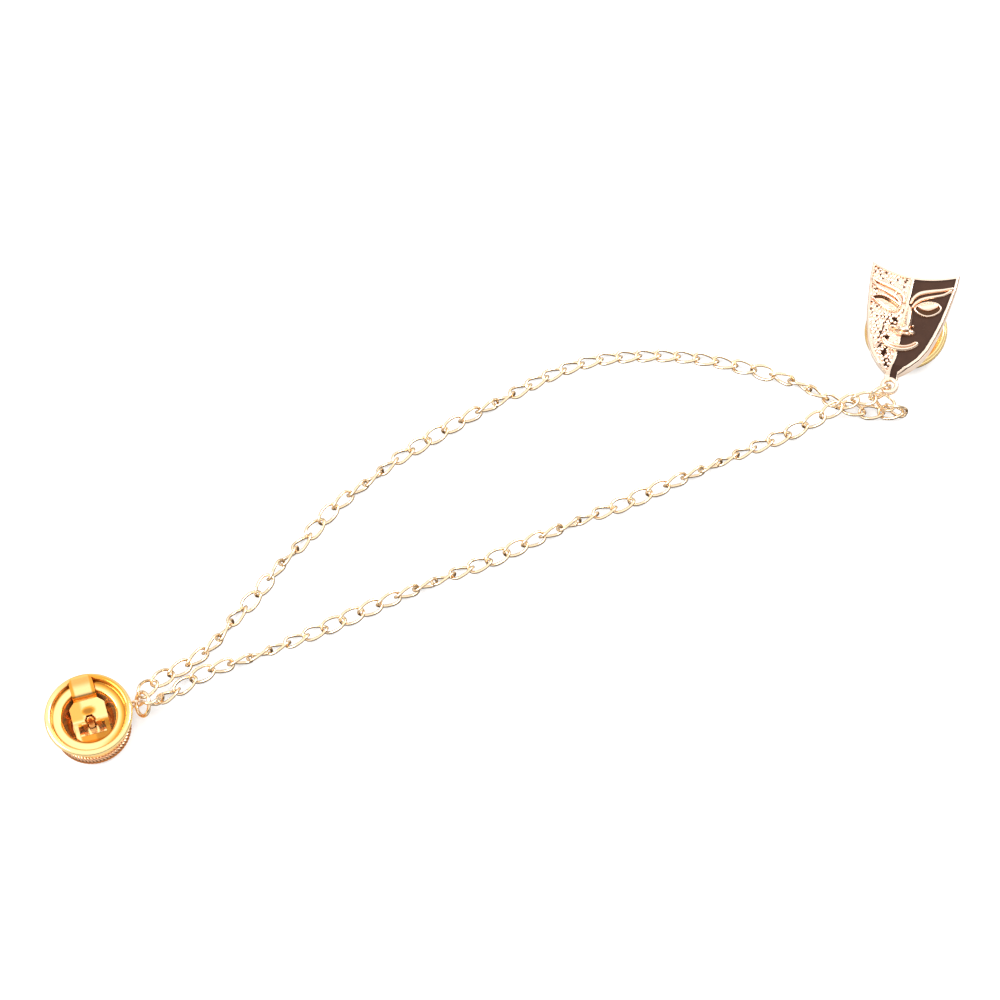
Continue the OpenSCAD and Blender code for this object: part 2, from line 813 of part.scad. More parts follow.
function unit(v) = v / norm(v);
function link_rings(a, b, roll) =
    let (
        d = unit(b - a),
        side = unit(cross([0, 0, 1], d)),
        up = cross(d, side),
        mid = (a + b) / 2,
        line = [
            for (k = [0 : link_steps - 1])
                let (p = link_point(k * 360 / link_steps, roll))
                    mid + p[0] * d + p[1] * side + p[2] * up])
        [
            for (k = [0 : link_steps - 1])
                let (
                    ahead = unit(line[(k + 1) % link_steps] - line[(k + link_steps - 1) % link_steps]),
                    outer = unit(line[k] - mid),
                    e1 = unit(cross(ahead, outer)),
                    e2 = cross(e1, ahead))
                    for (j = [0 : wire_sides - 1])
                        line[k] + link_wire / 2 * (cos(j * 360 / wire_sides) * e1 + sin(j * 360 / wire_sides) * e2)];
link_faces = [
    for (k = [0 : link_steps - 1], j = [0 : wire_sides - 1])
        let (
            k2 = (k + 1) % link_steps,
            j2 = (j + 1) % wire_sides,
            corner = [k * wire_sides + j, k * wire_sides + j2, k2 * wire_sides + j2, k2 * wire_sides + j])
            each [[corner[0], corner[1], corner[2]], [corner[0], corner[2], corner[3]]]];

module link(a, b, roll) {
    polyhedron(points = link_rings(a, b, roll), faces = link_faces, convexity = 4);
}

module strand(pts, rolls) {
    color(pale_gold)
        about_origin()
            for (i = [0 : len(rolls) - 1])
                link(pts[i], pts[i + 1], rolls[i]);
}

function roll_list(table, n) = [for (i = [0 : n - 1]) lookup((i + 0.5) / n, table)];
function hook(on_ring, toward) = on_ring - hook_out * unit(toward - on_ring);
function by_mask(row) = mask_place + [row[0], row[1], row[2]];
function lowered(p, roll) = [p[0], p[1], p[2] - link_lift(roll)];

// Number of links on a route, its joints, and the roll of each link
function link_count(start, route, ends) =
    let (runs = run_lengths(smooth(concat([start - [0, 0, 1]], route, [by_mask(ends[0]) - [0, 0, 1]]), 8)))
        ceil(runs[len(runs) - 1] / link_pitch);
function strand_rolls(table, n, ends) = concat(roll_list(table, n), [for (e = ends) e[3]]);
function strand_joints(start, route, ends, last, rolls, n) =
    let (
        path = concat([lowered(start, rolls[0])], route, [lowered(by_mask(ends[0]), ends[0][3])]),
        laid = rest_joints(joints(path, n), rolls))
        concat([for (i = [0 : n - 1]) laid[i]], [for (e = ends) by_mask(e)], [last]);

long_start = hook(round_ring_at(long_hooks[0]), long_route[0] + [0, 0, first_lift]);
long_last = hook(mask_ring_at(long_hooks[1]), by_mask(long_ends[len(long_ends) - 1]));
long_links = link_count(long_start, long_route, long_ends);
long_turns = strand_rolls(long_rolls, long_links, long_ends);
short_start = hook(round_ring_at(short_hooks[0]), short_route[0] + [0, 0, first_lift]);
short_last = hook(mask_ring_at(short_hooks[1]), by_mask(short_ends[len(short_ends) - 1]));
short_links = link_count(short_start, short_route, short_ends);
short_turns = strand_rolls(short_rolls, short_links, short_ends);

module chain_long() {
    strand(strand_joints(long_start, long_route, long_ends, long_last, long_turns, long_links), long_turns);
}

module chain_short() {
    strand(strand_joints(short_start, short_route, short_ends, short_last, short_turns, short_links), short_turns);
}
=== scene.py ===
"""Lapel chain: a mask brooch and a round brooch joined by two strands of fine curb chain.

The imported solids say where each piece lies. This script gives the pieces their finely modelled
surfaces, polished gold, glossy enamel, a plain pale floor and soft studio light. Lengths are in
millimetres and angles in degrees until a mesh is made, in the same frame as the solids.
"""
import functools
import logging
import math
from dataclasses import dataclass, field
from enum import Enum

import bpy
import numpy as np
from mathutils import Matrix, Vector


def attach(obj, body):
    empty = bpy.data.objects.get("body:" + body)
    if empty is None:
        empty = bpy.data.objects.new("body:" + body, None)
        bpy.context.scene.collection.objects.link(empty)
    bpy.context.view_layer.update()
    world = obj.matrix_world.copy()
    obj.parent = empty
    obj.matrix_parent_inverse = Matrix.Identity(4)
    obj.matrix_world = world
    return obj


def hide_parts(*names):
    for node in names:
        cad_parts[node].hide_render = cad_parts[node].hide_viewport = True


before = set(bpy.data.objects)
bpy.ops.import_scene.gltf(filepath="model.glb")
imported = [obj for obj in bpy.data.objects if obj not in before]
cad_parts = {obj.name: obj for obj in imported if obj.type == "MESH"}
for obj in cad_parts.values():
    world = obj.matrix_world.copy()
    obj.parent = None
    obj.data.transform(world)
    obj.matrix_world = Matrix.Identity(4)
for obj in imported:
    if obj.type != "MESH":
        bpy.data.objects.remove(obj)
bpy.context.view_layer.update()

log = logging.getLogger("lapel_chain")
MM = 0.001
Pair = tuple[float, float]
Triple = tuple[float, float, float]
Five = tuple[float, float, float, float, float]
Colour = Triple
Line = tuple[Pair, ...]
Faces = list[tuple[int, ...]]
Feed = bpy.types.NodeSocket | float | tuple[float, ...]
STRAIGHT = np.eye(3)
WHITE: Colour = (1.0, 1.0, 1.0)


# Placing: turns about the axes and a frame that carries points to their place


def turned(axis: str, angle: float) -> np.ndarray:
    """Makes the matrix of a turn about one axis.

    Args:
        axis: "x", "y" or "z".
        angle: the turn in degrees, by the right-hand rule.

    Returns:
        A 3 by 3 matrix.
    """
    c, s = math.cos(math.radians(angle)), math.sin(math.radians(angle))
    return np.array({
        "x": [[1, 0, 0], [0, c, -s], [0, s, c]],
        "y": [[c, 0, s], [0, 1, 0], [-s, 0, c]],
        "z": [[c, -s, 0], [s, c, 0], [0, 0, 1]],
    }[axis])


def unit(v: np.ndarray) -> np.ndarray:
    """Scales a vector to length one."""
    return v / np.linalg.norm(v)


def around(steps: int) -> np.ndarray:
    """Gives evenly spaced angles around a circle, in radians."""
    return np.radians(np.arange(steps) * 360 / steps)


def circle(radius: float, steps: int) -> np.ndarray:
    """Gives the points of a flat circle about the origin."""
    a = around(steps)
    return radius * np.stack([np.cos(a), np.sin(a), 0 * a], axis=1)


@dataclass(frozen=True)
class Place:
    """A place and a turn in the row frame, in millimetres."""

    origin: np.ndarray
    turn: np.ndarray

    def put(self, points: np.ndarray | Triple) -> np.ndarray:
        """Carries a local point, or rows of them, to the row frame."""
        return np.asarray(points, float) @ self.turn.T + self.origin

    def along(self, direction: Triple) -> np.ndarray:
        """Turns a local direction to the row frame."""
        return self.turn @ np.array(direction, float)

    def inner(self, offset: Triple, turn: np.ndarray = STRAIGHT) -> "Place":
        """Makes a place that is given inside this one.

        Args:
            offset: the new origin in this place's own axes.
            turn: the turn of the new axes within this place's own.

        Returns:
            The new place.
        """
        return Place(self.put(offset), self.turn @ turn)


# Mesh making


def grid_faces(rows: int, columns: int, close_rows: bool = False, close_columns: bool = False) -> Faces:
    """Joins a grid of points, stored row by row, with quads.

    Args:
        rows: number of rows.
        columns: number of points in a row.
        close_rows: whether the last row joins the first.
        close_columns: whether the last point of a row joins its first.

    Returns:
        The quads.
    """
    faces = []
    for i in range(rows if close_rows else rows - 1):
        i2 = (i + 1) % rows
        for j in range(columns if close_columns else columns - 1):
            j2 = (j + 1) % columns
            faces.append((i * columns + j, i * columns + j2, i2 * columns + j2, i2 * columns + j))
    return faces


def band_faces(upper: list[int], lower: list[int]) -> Faces:
    """Joins two closed loops of points, given by number, with quads."""
    return [(b, a, c, d) for a, b, c, d in zip(upper, upper[1:] + upper[:1], lower, lower[1:] + lower[:1])]


def new_object(name: str, data: bpy.types.ID) -> bpy.types.Object:
    """Makes an object of its data and links it to the scene.

    Args:
        name: the object's name.
        data: its mesh, light or camera.

    Returns:
        The object.
    """
    made = bpy.data.objects.new(name, data)
    bpy.context.scene.collection.objects.link(made)
    return made


@dataclass
class MeshParts:
    """Points, faces and the painted shade of each point, gathered before one mesh is made."""

    points: list[np.ndarray] = field(default_factory=list)
    faces: Faces = field(default_factory=list)
    painted_shade: list[np.ndarray] = field(default_factory=list)
    count: int = 0

    def add(self, points: np.ndarray, faces: Faces, painted_shade: np.ndarray | float = 0.0) -> None:
        """Adds a shape whose faces count from its own first point.

        Args:
            points: the shape's points in the row frame.
            faces: its faces.
            painted_shade: how much shade is painted on each point, from 0 to 1.
        """
        self.faces += [tuple(k + self.count for k in f) for f in faces]
        self.points.append(np.asarray(points, float))
        self.painted_shade.append(np.broadcast_to(np.asarray(painted_shade, float), (len(points),)))
        self.count += len(points)

    def add_spun(self, profile: list[Pair] | np.ndarray, segments: int, place: Place,
                 painted_shade: np.ndarray | float = 0.0) -> None:
        """Adds a profile of radius and height spun about the place's own Z axis.

        Args:
            profile: radius and height of each point.
            segments: number of steps around.
            place: the axes to spin it in.
            painted_shade: the shade painted on the points.
        """
        pr = np.array(profile, float)
        a = around(segments)
        points = np.stack([
            np.outer(np.cos(a), pr[:, 0]), np.outer(np.sin(a), pr[:, 0]),
            np.tile(pr[:, 1], (segments, 1))], axis=-1).reshape(-1, 3)
        self.add(place.put(points), grid_faces(segments, len(pr), close_rows=True), painted_shade)

    def add_loop(self, line: np.ndarray, radius: float, sides: int) -> None:
        """Adds round wire along a closed line that keeps clear of its own middle.

        Args:
            line: the wire's middle line.
            radius: the wire's radius.
            sides: number of points around the wire.
        """
        middle = line.mean(0)
        ahead = np.roll(line, -1, 0) - np.roll(line, 1, 0)
        ahead /= np.linalg.norm(ahead, axis=1)[:, None]
        outer = line - middle
        e1 = np.cross(ahead, outer)
        e1 /= np.linalg.norm(e1, axis=1)[:, None]
        e2 = np.cross(e1, ahead)
        a = around(sides)
        points = line[:, None] + radius * (
            np.cos(a)[None, :, None] * e1[:, None] + np.sin(a)[None, :, None] * e2[:, None])
        self.add(points.reshape(-1, 3), grid_faces(len(line), sides, True, True))

    def make(self, name: str, finish: "Finish", smooth_angle: float = 40) -> bpy.types.Object:
        """Makes one object of all that was added.

        Args:
            name: the object's name.
            finish: its finish.
            smooth_angle: edges sharper than this stay sharp.

        Returns:
            The object, linked to the scene.
        """
        mesh = bpy.data.meshes.new(name)
        mesh.from_pydata((np.concatenate(self.points) * MM).tolist(), [], self.faces)
        mesh.validate()
        # The painted shade goes into the mesh as a point attribute, which the shade group reads.
        values = mesh.attributes.new("crease_depth", "FLOAT", "POINT")
        values.data.foreach_set("value", np.concatenate(self.painted_shade).astype(np.float32))
        mesh.materials.append(finish.material())
        mesh.update()
        piece = new_object(name, mesh)
        mesh.shade_smooth()
        mesh.set_sharp_from_angle(angle=math.radians(smooth_angle))
        return piece


def rounded(profile: list[Pair], radii: list[float], steps: int = 5) -> list[Pair]:
    """Rounds the inner corners of an open profile.

    Args:
        profile: corner points of radius and height.
        radii: the setback at each corner; 0 keeps it sharp.
        steps: points in each rounded corner.

    Returns:
        The finer profile.
    """
    pts = [np.array(p, float) for p in profile]
    out = [tuple(pts[0])]
    for before, corner, after, r in zip(pts, pts[1:], pts[2:], radii[1:]):
        if r <= 0:
            out.append(tuple(corner))
            continue
        a = corner + unit(before - corner) * min(r, np.linalg.norm(before - corner) * 0.49)
        b = corner + unit(after - corner) * min(r, np.linalg.norm(after - corner) * 0.49)
        for k in range(steps + 1):
            t = k / steps
            out.append(tuple((1 - t) ** 2 * a + 2 * t * (1 - t) * corner + t * t * b))
    out.append(tuple(pts[-1]))
    return out


def spline(points: Line | list | np.ndarray, per_span: int) -> np.ndarray:
    """Runs a smooth line through points.

    Args:
        points: the points to pass through.
        per_span: number of steps between two of them.

    Returns:
        The line's points.
    """
    p = np.array(points, float)
    out = []
    for i in range(len(p) - 1):
        p0, p1, p2, p3 = p[max(i - 1, 0)], p[i], p[i + 1], p[min(i + 2, len(p) - 1)]
        for k in range(per_span):
            t = k / per_span
            out.append(0.5 * (2 * p1 + (p2 - p0) * t + (2 * p0 - 5 * p1 + 4 * p2 - p3) * t * t
                              + (3 * p1 - p0 - 3 * p2 + p3) * t ** 3))
    out.append(p[-1])
    return np.array(out)


def closed_spline(points: Line, per_span: int) -> np.ndarray:
    """Runs a smooth closed line through points."""
    looped = [points[-1], *points, points[0], points[1]]
    return spline(looped, per_span)[per_span:-per_span - 1]


def stroke(points: Line, per_span: int, half: float) -> np.ndarray:
    """Runs a smooth line through points, as rows of x, y and half its width."""
    line = spline(points, per_span)
    return np.column_stack([line, np.full(len(line), half)])


def smooth_step(v: np.ndarray) -> np.ndarray:
    """Eases values below 0 to 0 and values above 1 to 1."""
    t = np.clip(v, 0, 1)
    return t * t * (3 - 2 * t)


# Finishes


@dataclass
class Nodes:
    """Adds shader nodes to one tree and joins them."""

    tree: bpy.types.NodeTree

    def node(self, kind: str, settings: dict | None = None, **feeds: Feed) -> bpy.types.Node:
        """Adds a node and feeds its inputs.

        Args:
            kind: the node's type without its ShaderNode prefix.
            settings: properties of the node, and inputs by number or by a name with spaces.
            feeds: inputs by name, each a value or an output socket.

        Returns:
            The node.
        """
        made = self.tree.nodes.new("ShaderNode" + kind)
        for key, value in (settings or {}).items():
            if isinstance(key, str) and hasattr(made, key):
                setattr(made, key, value)
            else:
                feeds[key] = value
        self.feed(made, feeds)
        return made

    def feed(self, node: bpy.types.Node, feeds: dict[str | int, Feed]) -> None:
        """Feeds inputs of a node, each with a value or from an output socket.

        Args:
            node: the node.
            feeds: what each input takes, by its name or number.
        """
        for key, value in feeds.items():
            socket = node.inputs[key]
            if isinstance(value, bpy.types.NodeSocket):
                self.tree.links.new(value, socket)
            else:
                socket.default_value = (*value, 1.0) if socket.type == "RGBA" else value

    def math(self, operation: str, *values: Feed, clamp: bool = False) -> bpy.types.NodeSocket:
        """Adds a calculation.

        Args:
            operation: what it does, such as "MULTIPLY".
            values: the numbers that it works on.
            clamp: whether the result is held between 0 and 1.

        Returns:
            The result.
        """
        return self.node("Math", {"operation": operation, "use_clamp": clamp, **dict(enumerate(values))}).outputs[0]

    def measure(self, operation: str, first: Feed, second: Feed) -> bpy.types.NodeSocket:
        """Gives one number from two vectors, such as their distance."""
        return self.node("VectorMath", {"operation": operation, 0: first, 1: second}).outputs["Value"]

    def span(self, value: Feed, start: Pair, end: tuple[Feed, Feed]) -> bpy.types.NodeSocket:
        """Carries a value from one span to another, and holds it at the ends."""
        return self.node("MapRange", {1: start[0], 2: start[1], 3: end[0], 4: end[1]}, Value=value).outputs["Result"]

    def mix(self, share: Feed, first: Feed, second: Feed) -> bpy.types.NodeSocket:
        """Mixes two numbers."""
        return self.node("Mix", {"data_type": "FLOAT", 0: share, 2: first, 3: second}).outputs[0]

    def blend(self, share: Feed, first: Feed, second: Feed) -> bpy.types.NodeSocket:
        """Mixes two colours."""
        return self.node("Mix", {"data_type": "RGBA", 0: share, 6: first, 7: second}).outputs[2]


class GroupMaker(Nodes):
    """Builds a shader node group with named sockets."""

    def __init__(self, name: str, takes: dict[str, float | Colour]) -> None:
        """Starts a group.

        Args:
            name: the group's name.
            takes: the usual value of each input.
        """
        super().__init__(bpy.data.node_groups.new(name, "ShaderNodeTree"))
        self.inputs = self.tree.nodes.new("NodeGroupInput")
        self.outputs = self.tree.nodes.new("NodeGroupOutput")
        for key, value in takes.items():
            colour = isinstance(value, tuple)
            self.socket(key, "INPUT", colour).default_value = (*value, 1.0) if colour else value

    def socket(self, name: str, in_out: str, colour: bool) -> bpy.types.NodeTreeInterfaceSocket:
        """Adds a named socket for a colour or a number."""
        kind = "NodeSocketColor" if colour else "NodeSocketFloat"
        return self.tree.interface.new_socket(name, in_out=in_out, socket_type=kind)

    def given(self, name: str) -> bpy.types.NodeSocket:
        """Gives the socket inside the group that carries an input."""
        return self.inputs.outputs[name]

    def gives(self, name: str, source: bpy.types.NodeSocket) -> None:
        """Adds a named output fed by a socket inside the group."""
        self.socket(name, "OUTPUT", source.type == "RGBA")
        self.feed(self.outputs, {name: source})


@functools.cache
def tone_and_painted_shade_group() -> bpy.types.NodeTree:
    """Builds the group that paints shade into a coat by each point's shade value, and drifts its tone a little.

    Returns:
        The node group, with the output Colour.
    """
    g = GroupMaker("plating_tone", {
        "Plating": (0.9, 0.8, 0.6), "Crease Colour": (0.5, 0.28, 0.15), "Deep Colour": (0.05, 0.02, 0.01),
        "Crease Strength": 0.8, "Drift": 0.06, "Drift Scale": 300.0})
    place = g.node("TexCoord")
    drift = g.node("TexNoise", Vector=place.outputs["Object"], Scale=g.given("Drift Scale"), Detail=2.0)
    least = g.math("SUBTRACT", 1.0, g.given("Drift"))
    spread = g.span(drift.outputs["Fac"], (0.0, 1.0), (least, 1.0))
    toned = g.node("VectorMath", {"operation": "SCALE", 0: g.given("Plating")}, Scale=spread)
    # Each point's painted shade: darker in creases, grooves and hollows, and on sides turned from the light.
    painted_shade_level = g.node("Attribute", {"attribute_name": "crease_depth"})
    mask = g.math("MULTIPLY", painted_shade_level.outputs["Fac"], g.given("Crease Strength"), clamp=True)
    half = g.math("MULTIPLY", mask, 2.0, clamp=True)
    deeper = g.math("MULTIPLY_ADD", mask, 2.0, -1.0, clamp=True)
    warm_painted_mix = g.blend(half, toned.outputs[0], g.given("Crease Colour"))
    g.gives("Colour", g.blend(deeper, warm_painted_mix, g.given("Deep Colour")))
    return g.tree


@functools.cache
def polish_group() -> bpy.types.NodeTree:
    """Builds the group of polishing marks: a slightly uneven gloss and a faint ripple.

    Returns:
        The node group, with outputs Roughness and Height.
    """
    g = GroupMaker("polish_marks", {"Gloss": 0.1, "Spread": 0.05, "Scale": 900.0})
    place = g.node("TexCoord")
    noise = g.node("TexNoise", Vector=place.outputs["Object"], Scale=g.given("Scale"), Detail=3.0, Roughness=0.6)
    marks = noise.outputs["Fac"]
    g.gives("Roughness", g.math("ADD", g.math("MULTIPLY", marks, g.given("Spread")), g.given("Gloss")))
    g.gives("Height", marks)
    return g.tree


def start_material(name: str) -> tuple[bpy.types.Material, Nodes, bpy.types.Node]:
    """Starts a material on a plain shader.

    Args:
        name: the material's name.

    Returns:
        The material, the maker of its nodes and its shader.
    """
    mat = bpy.data.materials.new(name)
    mat.use_nodes = True
    return mat, Nodes(mat.node_tree), mat.node_tree.nodes["Principled BSDF"]


@dataclass(frozen=True)
class Coat:
    """Plating or enamel with shade painted into its creases and hollows, a slight drift in tone and a faint ripple.
    """

    name: str
    colour: Colour
    # Colours of the painted shade: where it is half deep, and where it is deepest.
    painted_shade: Colour
    deep: Colour = (0.035, 0.014, 0.008)
    painted_shade_strength: float = 1.0
    metal: float = 1.0
    specular: float = 0.5
    gloss: float = 0.1
    gloss_spread: float = 0.05
    mark_scale: float = 900.0
    drift: float = 0.06
    drift_scale: float = 300.0
    ripple: float = 0.00001
    ripple_share: float = 0.25

    def make(self) -> bpy.types.Material:
        """Makes the material; its ripple is in metres.

        Returns:
            The material.
        """
        mat, nodes, shader = start_material(self.name)
        tone = nodes.node("Group", {
            "node_tree": tone_and_painted_shade_group(), "Plating": self.colour, "Crease Colour": self.painted_shade, "Deep Colour": self.deep,
            "Crease Strength": self.painted_shade_strength, "Drift": self.drift, "Drift Scale": self.drift_scale})
        marks = nodes.node("Group", {"node_tree": polish_group()}, Gloss=self.gloss, Spread=self.gloss_spread,
                           Scale=self.mark_scale)
        bump = nodes.node("Bump", Strength=self.ripple_share, Distance=self.ripple, Height=marks.outputs["Height"])
        nodes.feed(shader, {"Base Color": tone.outputs["Colour"], "Metallic": self.metal,
                            "Specular IOR Level": self.specular, "Roughness": marks.outputs["Roughness"],
                            "Normal": bump.outputs["Normal"]})
        return mat


class Finish(Enum):
    """The finishes of the lapel chain."""

    # Each finish: its own colour, then the colour of the shade painted into it, and where given the deepest painted
    # shade.
    PALE = Coat("pale_gold_plating", (0.97, 0.77, 0.61), (0.60, 0.30, 0.15), gloss=0.12)
    WIRE = Coat("pale_gold_wire", (0.94, 0.73, 0.49), (0.55, 0.28, 0.12))
    GRAIN = Coat("pale_gold_grains", (0.98, 0.82, 0.70), (0.50, 0.30, 0.20), gloss=0.2)
    YELLOW = Coat("yellow_gold_plating", (1.0, 0.74, 0.34), (0.86, 0.35, 0.04), (0.08, 0.03, 0.006), metal=0.86,
                  gloss=0.09)
    BROWN = Coat("dark_brown_enamel", (0.056, 0.025, 0.015), (0.02, 0.008, 0.005), (0.02, 0.008, 0.005),
                 painted_shade_strength=0.8, metal=0.0, specular=0.15, gloss=0.2, gloss_spread=0.12, mark_scale=1400.0,
                 drift=0.35, drift_scale=900.0, ripple=0.00002, ripple_share=0.3)

    @functools.cache
    def material(self) -> bpy.types.Material:
        """Gives the finish's material, made the first time."""
        return self.value.make()


def dress(piece: bpy.types.Object, body: str, node: str) -> None:
    """Makes a piece ride on its body and stand for its solids.

    Args:
        piece: the finished object.
        body: the body that it moves with.
        node: the solids that it stands for.
    """
    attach(piece, body)
    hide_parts(node)
    log.info("%s: %d points, stands for %s", piece.name, len(piece.data.vertices), node)


# Layout shared by the sub-assemblies


@dataclass(frozen=True)
class Layout:
    """Where the brooches and rings lie, with the same values as the solids."""

    middle: Triple = (0.8, 0.35, 0.0)
    round_place: Triple = (-54.5, -30.0, 0.0)
    round_t: float = 1.3
    round_d: float = 10.0
    round_clutch_turn: float = 16.0
    mask_place: Triple = (54.1, 27.7, 0.0)
    mask_lean: float = 210.0
    mask_turn: float = -15.5
    face_x: float = 0.1
    mask_clutch_turn: float = 210.0
    seat_gap: float = 0.025
    clutch_d: float = 11.4
    clutch_h: float = 4.4
    roll_d: float = 0.9
    wing_tip_w: float = 3.1
    wing_rise: float = 0.8
    ring_d: float = 3.6
    ring_wire: float = 0.5
    round_ring_turn: float = 20.0
    round_ring_rise: float = 55.0
    round_ring_slip: float = 30.0
    mask_ring_turn: float = 206.5
    mask_ring_droop: float = 15.0
    lug_turn: float = 30.0
    lug_face: float = 14.0
    lug_wire: float = 0.42
    lug_hole_r: float = 0.62
    lug_reach: float = 0.5
    mask_w: float = 12.2
    mask_h: float = 15.8
    share_above_post: float = 0.47
    top_dip: float = 1.68
    mask_t: float = 1.15
    crown: float = 0.8
    eye_t: float = 0.9
    eye_r: float = 1.26
    eye_hole_r: float = 0.62
    eye_drop: float = 0.3

    @property
    def shift(self) -> np.ndarray:
        """The move from the drawing's origin to the row frame's."""
        return -np.array(self.middle)

    @property
    def ring_r(self) -> float:
        """Radius of a jump ring's wire line."""
        return (self.ring_d - self.ring_wire) / 2

    @property
    def mask(self) -> Place:
        """The mask's own axes: x to the viewer's right, y to the brow, origin at its post.

        Returns:
            The place, worked out from where the clutch's rim and wing tips rest.
        """
        roll_r = self.roll_d / 2
        rim_r = self.clutch_d / 2 - roll_r
        out, up = rim_r - self.wing_tip_w / 2, self.wing_rise + roll_r
        tilt = math.degrees(math.atan2(up, out) - math.asin(roll_r / math.hypot(out, up)))
        lean = math.radians(tilt)
        seat = rim_r * math.sin(lean) + (self.clutch_h + self.seat_gap - roll_r) * math.cos(lean) + roll_r
        turn = turned("z", self.mask_lean) @ turned("y", tilt) @ turned("z", self.mask_turn - self.mask_lean)
        return Place(np.array(self.mask_place) + [0, 0, seat] + self.shift, turn)

    @property
    def face(self) -> Place:
        """The mask's axes moved to the middle of its face."""
        return self.mask.inner((self.face_x, 0, 0))

    @property
    def mask_clutch(self) -> Place:
        """The axes of the clutch behind the mask."""
        turn = turned("x", 180) @ turned("z", self.mask_turn - self.mask_clutch_turn)
        return self.mask.inner((0, 0, 0), turn).inner((0, 0, self.seat_gap))

    @property
    def round_clutch(self) -> Place:
        """The axes of the clutch on the round brooch."""
        return self.round_base.inner((0, 0, self.round_t + self.seat_gap), turned("z", self.round_clutch_turn))

    @property
    def round_base(self) -> Place:
        """The axes of the round brooch, on the surface."""
        return Place(np.array(self.round_place) + self.shift, STRAIGHT)

    @property
    def corner_y(self) -> float:
        """Height of the mask's upper corners, in its own axes."""
        return self.share_above_post * self.mask_h

    @property
    def chin_y(self) -> float:
        """Height of the mask's chin."""
        return self.corner_y - self.mask_h

    @property
    def eye_y(self) -> float:
        """Height of the ring eye below the chin."""
        return self.chin_y - self.eye_drop - self.eye_r

    @property
    def round_lug(self) -> np.ndarray:
        """Middle of the wire eye on the round brooch.

        Returns:
            A point in the row frame.
        """
        out = self.round_d / 2 + self.lug_hole_r + self.lug_wire / 2 + self.lug_reach
        a = math.radians(self.lug_turn)
        return self.round_base.put((out * math.cos(a), out * math.sin(a), self.lug_hole_r + self.lug_wire))

    def round_ring(self) -> Place:
        """The axes of the ring by the round brooch, about its middle, with its line in x and y.

        Returns:
            The place.
        """
        a, rise = math.radians(self.round_ring_turn), math.radians(self.round_ring_rise)
        slip = math.radians(self.round_ring_slip)
        t = np.array([-math.sin(a), math.cos(a), 0])
        u = np.array([math.cos(a) * math.cos(rise), math.sin(a) * math.cos(rise), math.sin(rise)])
        middle = self.round_lug + self.ring_r * (math.cos(slip) * u - math.sin(slip) * t)
        return Place(middle, np.stack([u, t, np.cross(u, t)], axis=1))

    def mask_ring(self) -> Place:
        """The axes of the ring through the mask's eye, about its middle, with its line in x and y.

        Returns:
            The place.
        """
        a, droop = math.radians(self.mask_ring_turn - self.mask_turn), math.radians(self.mask_ring_droop)
        c = self.mask.along((math.cos(a), math.sin(a), 0))
        n = self.mask.along((0, 0, 1))
        eye = self.mask.put((self.face_x, self.eye_y, self.eye_t / 2))
        middle = eye + self.ring_r * (math.cos(droop) * c - math.sin(droop) * n)
        return Place(middle, np.stack([c, -n, np.cross(c, -n)], axis=1))


# Chain and rings


@dataclass
class JumpRing:
    """A closed ring of round wire."""

    name: str
    place: Place
    layout: Layout
    steps: int = 96
    sides: int = 20

    def build(self) -> None:
        """Builds and dresses the ring."""
        parts = MeshParts()
        parts.add_loop(self.place.put(circle(self.layout.ring_r, self.steps)), self.layout.ring_wire / 2, self.sides)
        dress(parts.make(self.name + "_wire", Finish.WIRE), "chain", self.name)

    def at(self, angle: float) -> np.ndarray:
        """Gives a point on the wire's line at an angle around the ring."""
        a, r = math.radians(angle), self.layout.ring_r
        return self.place.put((math.cos(a) * r, math.sin(a) * r, 0))


